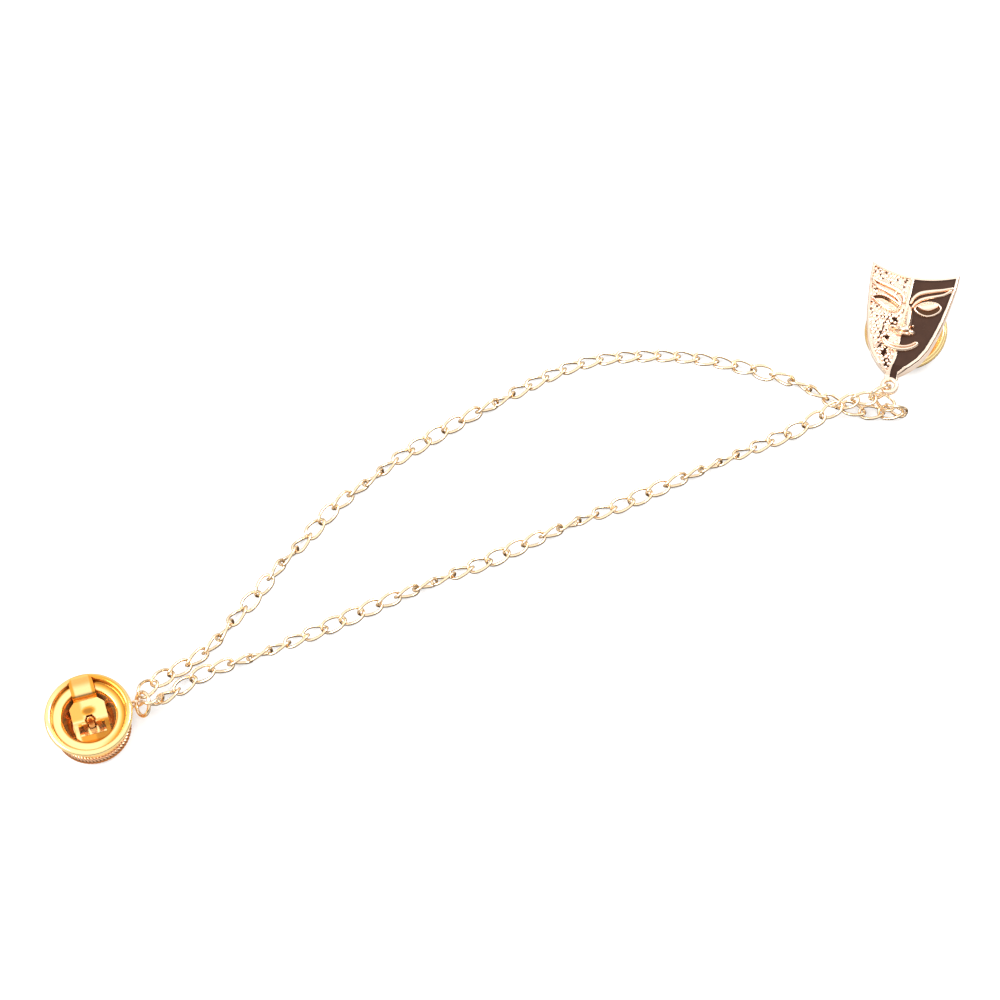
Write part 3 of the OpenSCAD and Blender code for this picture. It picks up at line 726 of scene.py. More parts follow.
@dataclass
class Strand:
    """A strand of curb chain along a given route between two rings."""

    name: str
    layout: Layout
    route: list[Triple]
    ends: list[tuple[float, float, float, float]]
    rolls: list[Pair]
    hooks: Pair
    link_l: float = 3.74
    link_w: float = 2.28
    wire: float = 0.42
    twist: float = 37.0
    hook_gap: float = 0.185
    rest_gap: float = 0.02
    first_lift: float = 0.9
    squareness: float = 0.86
    steps: int = 48
    sides: int = 10

    @property
    def a(self) -> float:
        """Half the length of a link's wire line."""
        return (self.link_l - self.wire) / 2

    @property
    def b(self) -> float:
        """Half the width of a link's wire line."""
        return (self.link_w - self.wire) / 2

    @property
    def pitch(self) -> float:
        """Distance from one joint to the next."""
        return 2 * self.a - self.wire - self.hook_gap

    def link_line(self, roll: float, steps: int) -> np.ndarray:
        """Gives a link's wire line: along the chain, across and up.

        Args:
            roll: the link's roll about the chain's line.
            steps: number of points around the link.

        Returns:
            The points of the line.
        """
        t = around(steps)
        x, w = [np.sign(v) * np.abs(v) ** self.squareness for v in (np.round(np.cos(t), 9), np.round(np.sin(t), 9))]
        turn = np.radians(roll - self.twist * np.cos(t))
        return np.stack([self.a * x, self.b * w * np.cos(turn), self.b * w * np.sin(turn)], axis=1)

    def lift(self, roll: float) -> float:
        """Gives the height of a link's middle that lets it clear the surface."""
        return self.rest_gap + self.wire / 2 + float(np.abs(self.link_line(roll, 12)[:, 2]).max())

    def hook(self, on_ring: np.ndarray, toward: np.ndarray) -> np.ndarray:
        """Gives the joint of a link that is hooked on a ring's wire."""
        out = (self.wire + self.layout.ring_wire) / 2 + self.hook_gap - (2 * self.a - self.pitch) / 2
        return on_ring - out * unit(toward - on_ring)

    def joints(self, first: JumpRing, last: JumpRing) -> tuple[np.ndarray, list[float]]:
        """Lays the joints along the route.

        Args:
            first: the ring at the strand's start.
            last: the ring at its end.

        Returns:
            The joints in the row frame, and the roll of each link.
        """
        shift = self.layout.shift
        ends = [np.array(e[:3]) for e in self.ends]
        start = self.hook(first.at(self.hooks[0]) - shift, np.array(self.route[0]) + [0, 0, self.first_lift])
        finish = self.hook(last.at(self.hooks[1]) - shift, ends[-1])
        down = np.array([0, 0, 1.0])
        rough = spline([start - down, *self.route, ends[0] - down], 8)
        count = math.ceil(np.linalg.norm(np.diff(rough, axis=0), axis=1).sum() / self.pitch)
        table = np.array(self.rolls)
        rolls = [float(np.interp((i + 0.5) / count, table[:, 0], table[:, 1])) for i in range(count)]
        rolls += [e[3] for e in self.ends]
        path = spline([start - down * self.lift(rolls[0]), *self.route,
                       ends[0] - down * self.lift(self.ends[0][3])], 8)
        runs = np.concatenate([[0], np.cumsum(np.linalg.norm(np.diff(path, axis=0), axis=1))])
        even = np.linspace(0, runs[-1], count + 1)
        laid = np.stack([np.interp(even, runs, path[:, k]) for k in range(3)], axis=1)
        for i, p in enumerate(laid):
            p[2] += max(self.lift(rolls[max(i - 1, 0)]), self.lift(rolls[i]))
        return np.array([*laid[:-1], *ends, finish]) + shift, rolls

    def build(self, first: JumpRing, last: JumpRing) -> None:
        """Builds all links as one piece and dresses it.

        Args:
            first: the ring at the strand's start.
            last: the ring at its end.
        """
        joints, rolls = self.joints(first, last)
        parts = MeshParts()
        for a, b, roll in zip(joints, joints[1:], rolls):
            d = unit(b - a)
            side = unit(np.cross([0, 0, 1], d))
            up = np.cross(d, side)
            line = (a + b) / 2 + self.link_line(roll, self.steps) @ np.stack([d, side, up])
            parts.add_loop(line, self.wire / 2, self.sides)
        dress(parts.make(self.name + "_links", Finish.WIRE, 80), "chain", self.name)


# Rows of a route: x, y and how much higher than on the surface, from the round brooch on
LONG_ROUTE = [
    (-46.3, -23.7, 0.8), (-43.6, -22.1, 0.1), (-41.4, -20.4, 0), (-39.2, -18.5, 0), (-36.8, -15.0, 0),
    (-33.7, -11.1, 0), (-30.9, -7.2, 0), (-28.3, -4.2, 0), (-24.1, 1.2, 0), (-19.2, 5.3, 0),
    (-14.9, 9.2, 0), (-10.4, 12.3, 0), (-5.8, 15.1, 0), (-1.3, 17.6, 0), (3.1, 20.4, 0),
    (7.9, 22.8, 0), (12.3, 24.1, 0), (17.9, 24.7, 0), (23.4, 24.6, 0), (29.6, 23.6, 0),
    (34.6, 22.0, 0), (39.2, 20.3, 0)]
SHORT_ROUTE = [
    (-45.4, -26.3, 0.3), (-43.4, -24.6, 0), (-41.2, -22.9, 0), (-38.3, -21.7, 0), (-33.9, -20.3, 0),
    (-29.5, -18.3, 0), (-25.3, -16.3, 0), (-16.1, -12.1, 0), (-5.4, -7.4, 0), (5.2, -2.4, 0),
    (16.1, 2.5, 0), (26.6, 7.3, 0), (35.4, 11.5, 0), (37.8, 12.6, 0.1)]
# Rows of the last joints: x, y, height and the roll of the link that starts there
LONG_ENDS = [
    (43.3, 18.0, 0.9, -20), (45.7, 16.9, 0.75, -5), (48.3, 16.0, 0.62, 0), (50.7, 16.0, 0.62, 5),
    (53.5, 15.7, 1.2, 95), (52.0, 16.0, 2.25, 130)]
SHORT_ENDS = [
    (40.2, 13.8, 1.1, 45), (42.6, 14.9, 1.9, 45), (44.8, 16.1, 2.35, 55), (47.0, 16.9, 2.95, 60)]
# Rows of the rolls: share of the links laid along the route, and the roll there
LONG_ROLLS = [
    (0.0, 6), (0.118, 90), (0.231, 270), (0.366, 450), (0.559, 630), (0.604, 695),
    (0.887, 705), (0.945, 810), (1.0, 870)]
SHORT_ROLLS = [(0.0, -90), (0.140, 90), (0.406, 270), (0.616, 450), (0.819, 630), (1.0, 735)]


# Clutches


@dataclass
class ButterflyClutch:
    """A spun cap with a rolled rim, and the sprung butterfly inside it."""

    side: str
    place: Place
    rim_r: float = 5.25
    roll_r: float = 0.45
    height: float = 4.4
    sheet: float = 0.35
    well_r: float = 3.55
    base_r: float = 3.2
    ledge_z: float = 3.5
    bore_r: float = 0.58
    spring_sheet: float = 0.3
    spring_w: float = 4.6
    tip_w: float = 3.1
    window_w: float = 3.4
    window_from: float = -1.9
    window_to: float = -0.3
    second_reach: float = 9.0
    neck_w: float = 2.4
    cross_h: float = 2.1
    tab_y: float = 2.6
    lip_y: float = 2.85
    tip_y: float = 3.8
    # Painted shades, and the turns in radians toward which two of them are strongest
    groove_shade: float = 0.84
    groove_turn: float = 0.2
    groove_w: float = 0.18
    groove_swing: float = 0.24
    groove_least: float = 0.13
    roll_shade: float = 0.55
    roll_turn: float = 0.9
    mouth_shade: float = 0.95
    mouth_w: float = 0.11
    wall_shade: float = 0.24
    arm_shade: float = 0.1
    well_shade: float = 0.5
    flank_shade: float = 0.32
    lip_shade: float = 0.8
    tab_shade: float = 0.55

    def build(self) -> None:
        """Builds and dresses the cap and the spring."""
        self.build_cap()
        self.build_spring()

    def build_cap(self) -> None:
        """Spins the cap: base, cone, ledge and rolled rim."""
        roll_z = self.height - self.roll_r
        sweep = [math.radians(t) for t in range(-70, 206, 11)]
        roll = [(self.rim_r + self.roll_r * math.cos(t), roll_z + self.roll_r * math.sin(t)) for t in sweep]
        under = self.ledge_z - self.sheet
        outer = rounded([(self.bore_r, 0.0), (self.base_r, 0.0), (self.well_r + self.sheet, under),
                         (self.rim_r + 0.05, under + 0.05), roll[0]], [0, 0.25, 0.3, 0.2, 0])
        inner = rounded([roll[-1], (self.rim_r - 0.42, self.ledge_z + 0.02), (self.well_r, self.ledge_z - 0.03),
                         (self.base_r - self.sheet, self.sheet), (self.bore_r, self.sheet)],
                        [0, 0.3, 0.35, 0.4, 0])
        parts = MeshParts()
        profile = outer + roll[1:-1] + inner + [(self.bore_r, 0.0)]
        parts.add_spun(profile, 144, self.place, self.cap_shade(profile, 144))
        dress(parts.make(f"{self.side}_clutch_shell", Finish.YELLOW, 60), f"{self.side}_clutch",
              f"{self.side}_clutch_cap")

    def cap_shade(self, profile: list[Pair], segments: int) -> np.ndarray:
        """Paints shade on the cap: the groove by the roll, wider on one side, one side of the roll, the mouth and the
        well.

        Args:
            profile: the cap's profile.
            segments: number of steps around it.

        Returns:
            One value for each point of the spun cap.
        """
        pr = np.array(profile)
        r, z = pr[None, :, 0], pr[None, :, 1]
        a = around(segments)[:, None]
        past_top = (np.arange(len(pr)) > np.argmax(pr[:, 1]))[None, :]
        inner = past_top & (z > self.ledge_z - 0.3)
        toward = np.cos(a - self.groove_turn)
        width = np.maximum(self.groove_w + self.groove_swing * toward, self.groove_least)
        middle = self.rim_r - 0.5 - 0.12 * np.clip(toward, 0, 1)
        # Painted shade in the groove, wider and darker on one side.
        groove = (self.groove_shade - 0.06 * np.cos(a)) * np.exp(-((r - middle) / width) ** 2)
        on_roll = (r > self.rim_r - 0.46) & (z > self.ledge_z)
        inward = np.clip((self.rim_r + 0.35 - r) / 0.3, 0, 1)
        # Painted shade on the side of the roll toward roll_turn.
        roll = np.where(on_roll, self.roll_shade * np.clip(np.cos(a - self.roll_turn), 0, 1) * inward, 0.0)
        mouth = self.mouth_shade * np.exp(-((r - self.well_r - 0.06) / self.mouth_w) ** 2)
        below = past_top & (z < self.ledge_z - 0.2) & (z > self.sheet)
        # Painted shade on the well's wall, stronger on one side.
        wall = np.where(below, self.wall_shade - 0.08 * np.cos(a), 0.0)
        return np.maximum(np.maximum(np.where(inner, np.maximum(groove, mouth), 0.0), roll), wall).reshape(-1)

    def spring_shade(self, points: np.ndarray) -> np.ndarray:
        """Paints orange shade on the butterfly: deeper down in the well, with a pale flank and edge, and shade toward
        the tips.

        Args:
            points: the butterfly's points in the clutch's axes.

        Returns:
            One value for each point.
        """
        x, y, z = points.T
        low = smooth_step((self.cross_h - 0.15 - z) / 0.2)
        shade = self.arm_shade + self.well_shade * low
        shade = shade + (1 - low) * self.flank_shade * smooth_step((-0.5 - x) / 0.5)
        shade = shade + low * 0.15 * smooth_step(x / 0.5)
        shade = shade * (1 - low * smooth_step((-1.6 - x) / 0.2))
        shade = np.maximum(shade, self.lip_shade * smooth_step(1.5 - np.hypot(x / 0.9, (y - 1.2) / 0.5)))
        shade = shade * (1 - np.exp(-((y - 0.12) / 0.16) ** 2))
        ends = smooth_step((np.abs(x) - 0.95) / 0.3)
        tab = np.maximum(self.tab_shade * ends, 0.06 + 0.3 * smooth_step((y - self.tip_y) / 0.6))
        lip = self.lip_shade * np.exp(-((y - self.lip_y) / 0.1) ** 2)
        over = smooth_step((y - self.tab_y) / 0.1)
        return np.maximum(shade * (1 - over) + tab * over, lip)

    def arm_path(self) -> np.ndarray:
        """Gives an arm's middle line in y and z, from its foot to the curled tip of its wing.

        Returns:
            Rows of y and z.
        """
        foot_y = self.base_r - self.sheet - 0.55
        low = self.sheet + 0.05 + self.spring_sheet / 2
        return spline([(-foot_y + 0.9, low), (-foot_y, low), (-foot_y - 0.05, low + 0.15), (-1.0, 1.25),
                       (0.0, self.cross_h - 0.2), (0.3, self.cross_h - 0.05), (1.4, 2.45), (2.45, 2.8), (2.65, 2.95),
                       (3.05, 3.62), (4.0, 4.4), (4.9, 5.0), (5.0, 4.98)], 5)

    def wall_r(self, z: np.ndarray) -> np.ndarray:
        """Gives the reach of the spring inside the well at a height, and no bound above the ledge.

        Args:
            z: height in the clutch.

        Returns:
            The radius that the spring may reach.
        """
        inner = self.base_r - self.sheet
        return np.where(z < self.ledge_z + 0.1, inner + (self.well_r - inner) * (z - self.sheet)
                        / (self.ledge_z - self.sheet) - 0.2, 9.0)

    def arm(self, flip: bool) -> tuple[np.ndarray, Faces]:
        """Makes one arm of bent sheet.

        Args:
            flip: whether it is the inner arm, which has a narrow neck in place of a window.

        Returns:
            Its points in the clutch's axes, and its faces.
        """
        path = self.arm_path()
        across = np.linspace(-1, 1, 33)
        points = []
        for y, z in path:
            wide, slim = self.spring_w / 2, self.tip_w / 2
            w = np.interp(y, [-2.6, 1.9, 2.55, 4.5, 5.0], [wide, wide, slim, slim, slim - 0.35])
            if flip:
                near = smooth_step(np.array((1.9 - abs(y + 0.1)) / 0.35)) * (z > 1.0)
                w += (self.neck_w / 2 - w) * float(near)
            w = min(w, math.sqrt(max(float(self.wall_r(np.array(z))) ** 2 - y * y, 0.3)))
            points += [(w * s, y, z) for s in across]
        rows, cols = len(path), len(across)
        pts = np.array(points)
        faces = []
        for f in grid_faces(rows, cols):
            mx, my, mz = pts[list(f)].mean(0)
            hole = math.hypot(mx, my) < self.bore_r + 0.12 and mz > 1.0
            window = not flip and abs(mx) < self.window_w / 2 and self.window_from < my < self.window_to and mz > 1.0
            beyond = flip and my > self.second_reach
            if not (hole or window or beyond):
                faces.append(f)
        if flip:
            pts = pts * [-1, -1, 1]
        return pts, faces

    def build_spring(self) -> None:
        """Builds the two crossing arms as one bent sheet."""
        parts = MeshParts()
        for flip in (False, True):
            points, faces = self.arm(flip)
            parts.add(self.place.put(points), faces, self.spring_shade(points * ([-1, -1, 1] if flip else [1, 1, 1])))
        piece = parts.make(f"{self.side}_clutch_butterfly", Finish.YELLOW, 50)
        thick = piece.modifiers.new("sheet", "SOLIDIFY")
        thick.thickness = self.spring_sheet * MM
        thick.offset = 0
        edge = piece.modifiers.new("edge", "BEVEL")
        edge.width, edge.segments, edge.limit_method = 0.06 * MM, 2, "ANGLE"
        edge.angle_limit = math.radians(50)
        dress(piece, f"{self.side}_clutch", f"{self.side}_clutch_spring")


def post_profile(width: float, length: float, tip: float, root: float) -> list[Pair]:
    """Gives a pin post's profile with a groove below its rounded point.

    Args:
        width: the post's width.
        length: its length above its seat.
        tip: length of its point.
        root: how far it reaches below its seat.

    Returns:
        Its radius and height, from the root up.
    """
    r = width / 2
    top = [(0.0, -root), (r, -root), (r, length - tip - 0.55), (r - 0.12, length - tip - 0.4),
           (r - 0.12, length - tip - 0.2), (r, length - tip), (r * 0.25, length), (0.0, length)]
    return rounded(top, [0, 0, 0.05, 0.05, 0.05, 0.2, 0.08, 0], 4)


# Round brooch


@dataclass
class RoundBrooch:
    """A small round brooch that lies face down: disc, rope rim, post and ring lug."""

    layout: Layout
    rope_d: float = 1.2
    strokes: int = 66
    strands: int = 7
    groove: float = 0.2
    post_d: float = 1.0
    post_len: float = 3.1
    tip_len: float = 0.8
    # Shade painted over the whole post, which stands inside the clutch.
    post_shade: float = 0.55

    def build(self) -> None:
        """Builds the disc with its rope rim, lug and post as one soldered piece."""
        lay = self.layout
        rope_r = (lay.round_d - self.rope_d) / 2
        parts = MeshParts()
        disc = rounded([(0, 0.3), (rope_r - 0.8, 0.3), (rope_r - 0.5, 0.03), (rope_r, 0.03), (rope_r, lay.round_t),
                        (0, lay.round_t)], [0, 0.1, 0.1, 0, 0, 0])
        parts.add_spun(disc, 128, lay.round_base)
        self.add_rope(parts, rope_r)
        parts.add_spun(post_profile(self.post_d, self.post_len, self.tip_len, 0.2), 32,
                       lay.round_base.inner((0, 0, lay.round_t)), self.post_shade)
        self.add_lug(parts)
        dress(parts.make("round_brooch", Finish.PALE, 50), "chain", "round_plate")

    def add_rope(self, parts: MeshParts, rope_r: float) -> None:
        """Adds the twisted rope around the rim.

        Args:
            parts: the mesh that is being gathered.
            rope_r: radius of the rope's middle line.
        """
        steps, sides = self.strokes * 10, 28
        a, b = np.meshgrid(around(steps), around(sides), indexing="ij")
        wave = np.abs(np.sin((self.strokes * a + self.strands * b) / 2)) ** 0.7
        r = self.rope_d / 2 * (1 - self.groove * (1 - wave))
        out = rope_r + r * np.cos(b)
        points = np.stack([out * np.cos(a), out * np.sin(a), self.rope_d / 2 + r * np.sin(b)], axis=-1)
        # Shade painted into the rope's grooves between its twists.
        parts.add(self.layout.round_base.put(points.reshape(-1, 3)), grid_faces(steps, sides, True, True),
                  0.3 + 0.6 * (1 - wave).reshape(-1))

    def add_lug(self, parts: MeshParts) -> None:
        """Adds the wire eye and its short root.

        Args:
            parts: the mesh that is being gathered.
        """
        lay = self.layout
        r = lay.lug_hole_r + lay.lug_wire / 2
        ring = Place(lay.round_lug, turned("z", lay.lug_face) @ turned("x", 90))
        parts.add_loop(ring.put(circle(r, 64)), lay.lug_wire / 2, 14)
        root = lay.round_base.inner((0, 0, self.rope_d / 2), turned("z", lay.lug_turn) @ turned("y", 90))
        start, end = lay.round_d / 2 - self.rope_d / 2, lay.round_d / 2 + lay.lug_reach + lay.lug_wire / 2
        w = lay.lug_wire * 0.8
        parts.add_spun(rounded([(0, start), (w, start), (w, end), (0, end)], [0, 0.05, 0.15, 0]), 24, root)


# Mask brooch


@dataclass
class Surface:
    """The mask's front on a grid, while its features are raised on it and their shade is painted."""

    x: np.ndarray
    y: np.ndarray
    base: np.ndarray
    low: np.ndarray
    z: np.ndarray
    shade: np.ndarray

    def lift(self, height: np.ndarray) -> None:
        """Raises the surface to a height above the sunk fields, where it lies lower."""
        self.z = np.maximum(self.z, self.low + height)


@dataclass
class MaskBrooch:
    """The cast mask: plate with raised border, brows, eyes, nose and mouth, grains and enamel.

    Its own axes have x to the viewer's right and y to the brow, from the middle of the face.
    """

    layout: Layout
    rim: float = 0.34
    field_depth: float = 0.3
    divider_w: float = 0.4
    relief: float = 0.4
    edge_round: float = 0.16
    waist_w: float = 0.85
    neck_lean: float = 0.42
    brow_drop: float = 0.07
    brow_gain: float = 1.5
    mouth_x: float = 0.2
    mouth_groove: float = 0.17
    lid_in: float = 0.16
    lid_half: float = 0.2
    lid_edge: float = 0.24
    ball_low: float = 0.1
    ball_rise: float = 0.3
    ball_round: float = 0.6
    crescent_rise: float = 0.06
    # Strength of the painted shadow in an eye's crescent.
    crescent_shade: float = 0.95
    lip_rise: float = 0.12
    lip_crease: float = 0.22
    # Painted shade along the mouth's groove.
    lip_shade: float = 0.5
    nose_fold_w: float = 0.24
    nose_fold_d: float = 0.12
    # Strength of the shade painted in the fold under the nose.
    nose_fold_shade: float = 0.62
    grain_d: float = 0.52
    grain_pitch: float = 0.54
    grain_row: float = 0.87
    grain_jitter: float = 0.1
    grain_gap: float = 0.12
    grain_loss: float = 0.07
    grain_rise: float = 0.09
    bed_rise: float = 0.12
    bed_dip: float = 0.1
    bed_under: float = 0.06
    # Painted shade on the grain bed: everywhere, more toward the chin, and dots of it in the gaps between grains.
    bed_painted_shade: float = 0.12
    chin_painted_shade: float = 0.18
    dot_r: float = 0.12
    dot_share: float = 0.55
    chin_dot_share: float = 0.9
    chin_from: float = -4.6
    columns: int = 171
    rows: int = 236
    neck_rows: int = 22
    wall_levels: tuple[float, ...] = (0.35, 0.75, 1.0)
    post_d: float = 1.0
    post_len: float = 3.1
    tip_len: float = 0.8
    # Rows: share of the height down from the corners, share of half the width
    sides: Line = (
        (0.00, 0.990), (0.12, 0.985), (0.22, 0.955), (0.34, 0.915), (0.46, 0.868), (0.60, 0.790),
        (0.74, 0.685), (0.84, 0.555), (0.92, 0.385), (0.97, 0.245), (1.00, 0.150))
    # Rows: share of half the width, share of the height, share of half the width for the line's own width
    brow_upper: tuple[Triple, ...] = (
        (0.082, 0.120, 0.050), (0.107, 0.158, 0.060), (0.156, 0.190, 0.068), (0.230, 0.218, 0.075),
        (0.336, 0.239, 0.075), (0.525, 0.267, 0.066), (0.713, 0.294, 0.056), (0.900, 0.330, 0.045))
    brow_lower: tuple[Triple, ...] = (
        (0.139, 0.085, 0.045), (0.189, 0.123, 0.055), (0.270, 0.158, 0.060), (0.410, 0.190, 0.060),
        (0.598, 0.222, 0.055), (0.754, 0.253, 0.050), (0.885, 0.305, 0.045))
    mouth: tuple[Triple, ...] = (
        (-0.370, -0.255, 0.120), (-0.300, -0.278, 0.150), (-0.160, -0.300, 0.175), (0.000, -0.308, 0.185),
        (0.160, -0.298, 0.180), (0.290, -0.272, 0.165), (0.365, -0.245, 0.145))
    # Rows: y, left edge, crest, right edge, height
    nose: tuple[Five, ...] = (
        (1.60, 0.00, 0.25, 0.40, 0.05), (1.10, -0.10, 0.60, 0.90, 0.20), (0.40, -0.20, 0.75, 1.10, 0.36),
        (-0.60, -0.20, 0.85, 1.20, 0.52), (-1.40, -0.35, 0.90, 1.30, 0.70), (-1.85, -0.85, 0.80, 1.50, 0.90),
        (-2.20, -1.35, 0.70, 1.85, 1.00), (-2.60, -1.25, 0.60, 1.95, 0.80), (-2.95, -0.60, 0.60, 1.40, 0.00))
    # Rows: x, y, half the width, half the height, rise
    nose_balls: tuple[Five, ...] = (
        (-1.1, -2.1, 0.75, 0.42, 0.75), (1.5, -2.4, 0.55, 0.45, 0.75), (0.4, -2.78, 1.1, 0.32, 0.8),
        (1.5, -1.45, 0.24, 0.22, 0.5))
    # Each eyeball's shift to the right and up from its lid, and its distance from the lid's outline
    left_ball: Triple = (-0.16, -0.34, 0.32)
    right_ball: Triple = (-0.1, 0.52, 0.38)
    # Rows: x, y
    left_eye: Line = (
        (-5.2, 1.95), (-4.5, 2.5), (-3.4, 2.6), (-2.3, 2.2), (-1.3, 1.7), (-0.75, 1.15), (-1.1, 0.45), (-1.8, 0.15),
        (-2.7, 0.35), (-3.75, 0.95), (-4.6, 1.55))
    right_eye: Line = (
        (1.05, 1.05), (1.6, 1.95), (2.85, 2.55), (4.05, 2.6), (4.75, 2.0), (4.4, 1.05), (3.2, 0.25), (1.95, 0.35))
    nose_fold: Line = ((-1.3, -2.2), (-0.5, -2.45), (0.4, -2.6), (1.1, -2.5))
    # Lines kept clear of grains, with shade painted along them on the bed.
    cheek_lines: tuple[Line, ...] = (
        ((-2.2, -0.7), (-2.5, -1.9), (-2.7, -3.2), (-2.9, -3.9)),
        ((-1.6, -3.4), (-2.4, -4.7), (-2.7, -5.5)))
    # Spots kept clear of grains, with shade painted on the bed there.
    pits: Line = (
        (-5.6, 6.8), (-3.9, 5.9), (-2.9, 5.9), (-1.0, 4.2), (-1.0, 4.9), (-1.3, 5.5), (-0.8, 5.2), (-5.4, 4.6),
        (-5.0, 1.4), (-5.5, 3.7), (-4.9, 3.4), (-2.1, 5.8))
    # Patches of painted shade on the grain bed. Rows: x, y, reach
    painted_shade_patches: tuple[Triple, ...] = (
        (-0.95, -7.1, 0.8), (-1.9, -5.6, 0.8), (-2.0, -3.4, 0.75), (-1.4, -1.1, 0.9))

    @property
    def half_w(self) -> float:
        """Half the width of the mask."""
        return self.layout.mask_w / 2

    @property
    def corner_y(self) -> float:
        """Height of the upper corners."""
        return self.layout.corner_y

    @property
    def chin_y(self) -> float:
        """Height of the chin."""
        return self.layout.chin_y

    def share_down(self, y: np.ndarray) -> np.ndarray:
        """Gives how far down from the corners a height lies, as a share."""
        return (self.corner_y - y) / self.layout.mask_h

    def side_w(self, y: np.ndarray) -> np.ndarray:
        """Gives half the width of the mask at a height, down to the neck.

        Args:
            y: height on the mask.

        Returns:
            Half the width there.
        """
        t = np.array(self.sides)
        w = self.half_w * np.interp(self.share_down(y), t[:, 0], t[:, 1])
        return np.where(y < self.chin_y + 0.05, np.maximum(w, self.waist_w), w)

    def top_y(self, x: np.ndarray) -> np.ndarray:
        """Gives the height of the dipped upper edge at a distance from the middle."""
        return self.corner_y - self.layout.top_dip * (1 - (x / self.half_w) ** 2)

    def front(self, x: np.ndarray, y: np.ndarray) -> np.ndarray:
        """Gives the height of the crowned front, which falls to the flat eye along the neck.

        Args:
            x: distance to the viewer's right.
            y: height on the mask.

        Returns:
            The height above the mask's back.
        """
        lay = self.layout
        r = (self.half_w ** 2 + lay.crown ** 2) / (2 * lay.crown)
        crown = lay.mask_t + lay.crown - r + np.sqrt(np.maximum(r * r - x * x, 0))
        neck = np.interp(y, [lay.eye_y + lay.eye_r, self.chin_y + 1.1], [lay.eye_t, lay.mask_t + lay.crown])
        return np.minimum(crown, neck)

    def ribbon(self, rows: tuple[Triple, ...], mirror: bool, move: float, drop: float) -> np.ndarray:
        """Turns a table of shares into a fine line.

        Args:
            rows: shares of half the width, of the height, and of half the width again for the line's width.
            mirror: whether the line is on the viewer's left.
            move: distance to the viewer's right.
            drop: how much it falls for each millimetre away from the middle.

        Returns:
            Rows of x, y and half the line's width.
        """
        p = spline([(r[0] * self.half_w, r[1] * self.layout.mask_h, r[2] * self.half_w / 2) for r in rows], 14)
        p[:, 1] -= drop * np.abs(p[:, 0])
        if mirror:
            p[:, 0] *= -1
        p[:, 0] += move
        return p

    @staticmethod
    def from_line(x: np.ndarray, y: np.ndarray, line: np.ndarray) -> np.ndarray:
        """Gives each point's distance from a line as a share of the line's half width.

        Args:
            x: distance to the viewer's right.
            y: height on the mask.
            line: rows of x, y and half the line's width.

        Returns:
            1 at the line's edge, less within it.
        """
        best = np.full(x.shape, 1e9)
        for px, py, half in line:
            best = np.minimum(best, np.hypot(x - px, y - py) / half)
        return best

    def brow_lines(self) -> list[np.ndarray]:
        """Gives the four brow lines."""
        return [self.ribbon(rows, mirror, 0.0, self.brow_drop if mirror else 0.0) * [1, 1, self.brow_gain]
                for rows in (self.brow_upper, self.brow_lower) for mirror in (False, True)]

    def mouth_line(self) -> np.ndarray:
        """Gives the line of the mouth."""
        return self.ribbon(self.mouth, False, self.mouth_x, 0.0)

    @staticmethod
    def within(x: np.ndarray, y: np.ndarray, outline: Line) -> np.ndarray:
        """Gives how far inside a smooth closed outline points lie, in millimetres, negative outside.

        Args:
            x: distance to the viewer's right.
            y: height on the mask.
            outline: corner points of the outline.

        Returns:
            The distance to the outline.
        """
        p = closed_spline(outline, 10)
        best, inside = np.full(x.shape, 1e9), np.zeros(x.shape, bool)
        for a, b in zip(p, np.roll(p, -1, 0)):
            best = np.minimum(best, np.hypot(x - a[0], y - a[1]))
            if a[1] != b[1]:
                crossed = (a[1] > y) != (b[1] > y)
                inside ^= crossed & (x < (b[0] - a[0]) * (y - a[1]) / (b[1] - a[1]) + a[0])
        return np.where(inside, best, -best)

    def surface(self, x: np.ndarray, y: np.ndarray) -> Surface:
        """Makes the front with its sunk fields, raises brows, eyes, nose and mouth on it, and paints their shade.

        Args:
            x: distance to the viewer's right.
            y: height on the mask.

        Returns:
            The front with its features.
        """
        base = self.front(x, y)
        floor = base - self.field_depth * smooth_step(self.field_mask(x, y) / 0.1 + 0.2)
        s = Surface(x, y, base, base - self.field_depth, floor, np.zeros_like(floor))
        rise = self.relief + self.field_depth
        for line in self.brow_lines():
            d = self.from_line(x, y, line)
            s.lift(rise * np.sqrt(np.clip(1 - d ** 3, 0, 1)))
        self.raise_eye(s, self.right_eye, self.right_ball, 1.0)
        self.raise_eye(s, self.left_eye, self.left_ball, 0.5)
        self.raise_nose(s)
        d = self.from_line(x, y, self.mouth_line())
        groove = np.exp(-(d / self.mouth_groove) ** 2)
        lips = np.sqrt(np.clip(1 - d ** 2.6, 0, 1)) * (1 - self.lip_crease * groove)
        s.lift((rise + self.lip_rise) * lips)
        # Painted shade along the groove between the lips.
        s.shade = np.where(d < 0.95, self.lip_shade * groove, s.shade)
        return s

    def raise_eye(self, s: Surface, outline: Line, eyeball: Triple, fade: float) -> None:
        """Raises one eye: a rounded lid around an eyeball, with a shallow crescent, darkened by painted shadow, where
        the ball falls short.

        Args:
            s: the surface so far.
            outline: the lid's outer outline.
            eyeball: its shift to the right and up, and its distance from the outline.
            fade: how dark the crescent's inner end is, as a share.
        """
        dx, dy, gap = eyeball
        d = self.within(s.x, s.y, outline)
        lid = np.sqrt(np.clip(1 - ((d - self.lid_in) / self.lid_half) ** 2, 0, 1))
        inside = smooth_step((d - self.lid_edge) / 0.08)
        reach = (self.within(s.x - dx, s.y - dy, outline) - gap) / self.ball_round
        ball = np.sqrt(np.clip(1 - (1 - np.clip(reach, 0, 1)) ** 2, 0, 1))
        shape = s.base + np.where(reach > 0, self.ball_low + self.ball_rise * ball, self.crescent_rise)
        s.z = s.z * (1 - inside) + shape * inside
        # Painted shadow in the crescent.
        dark = inside * (1 - smooth_step(reach / 0.15)) * (fade + (1 - fade) * smooth_step((-1.9 - s.x) / 0.9))
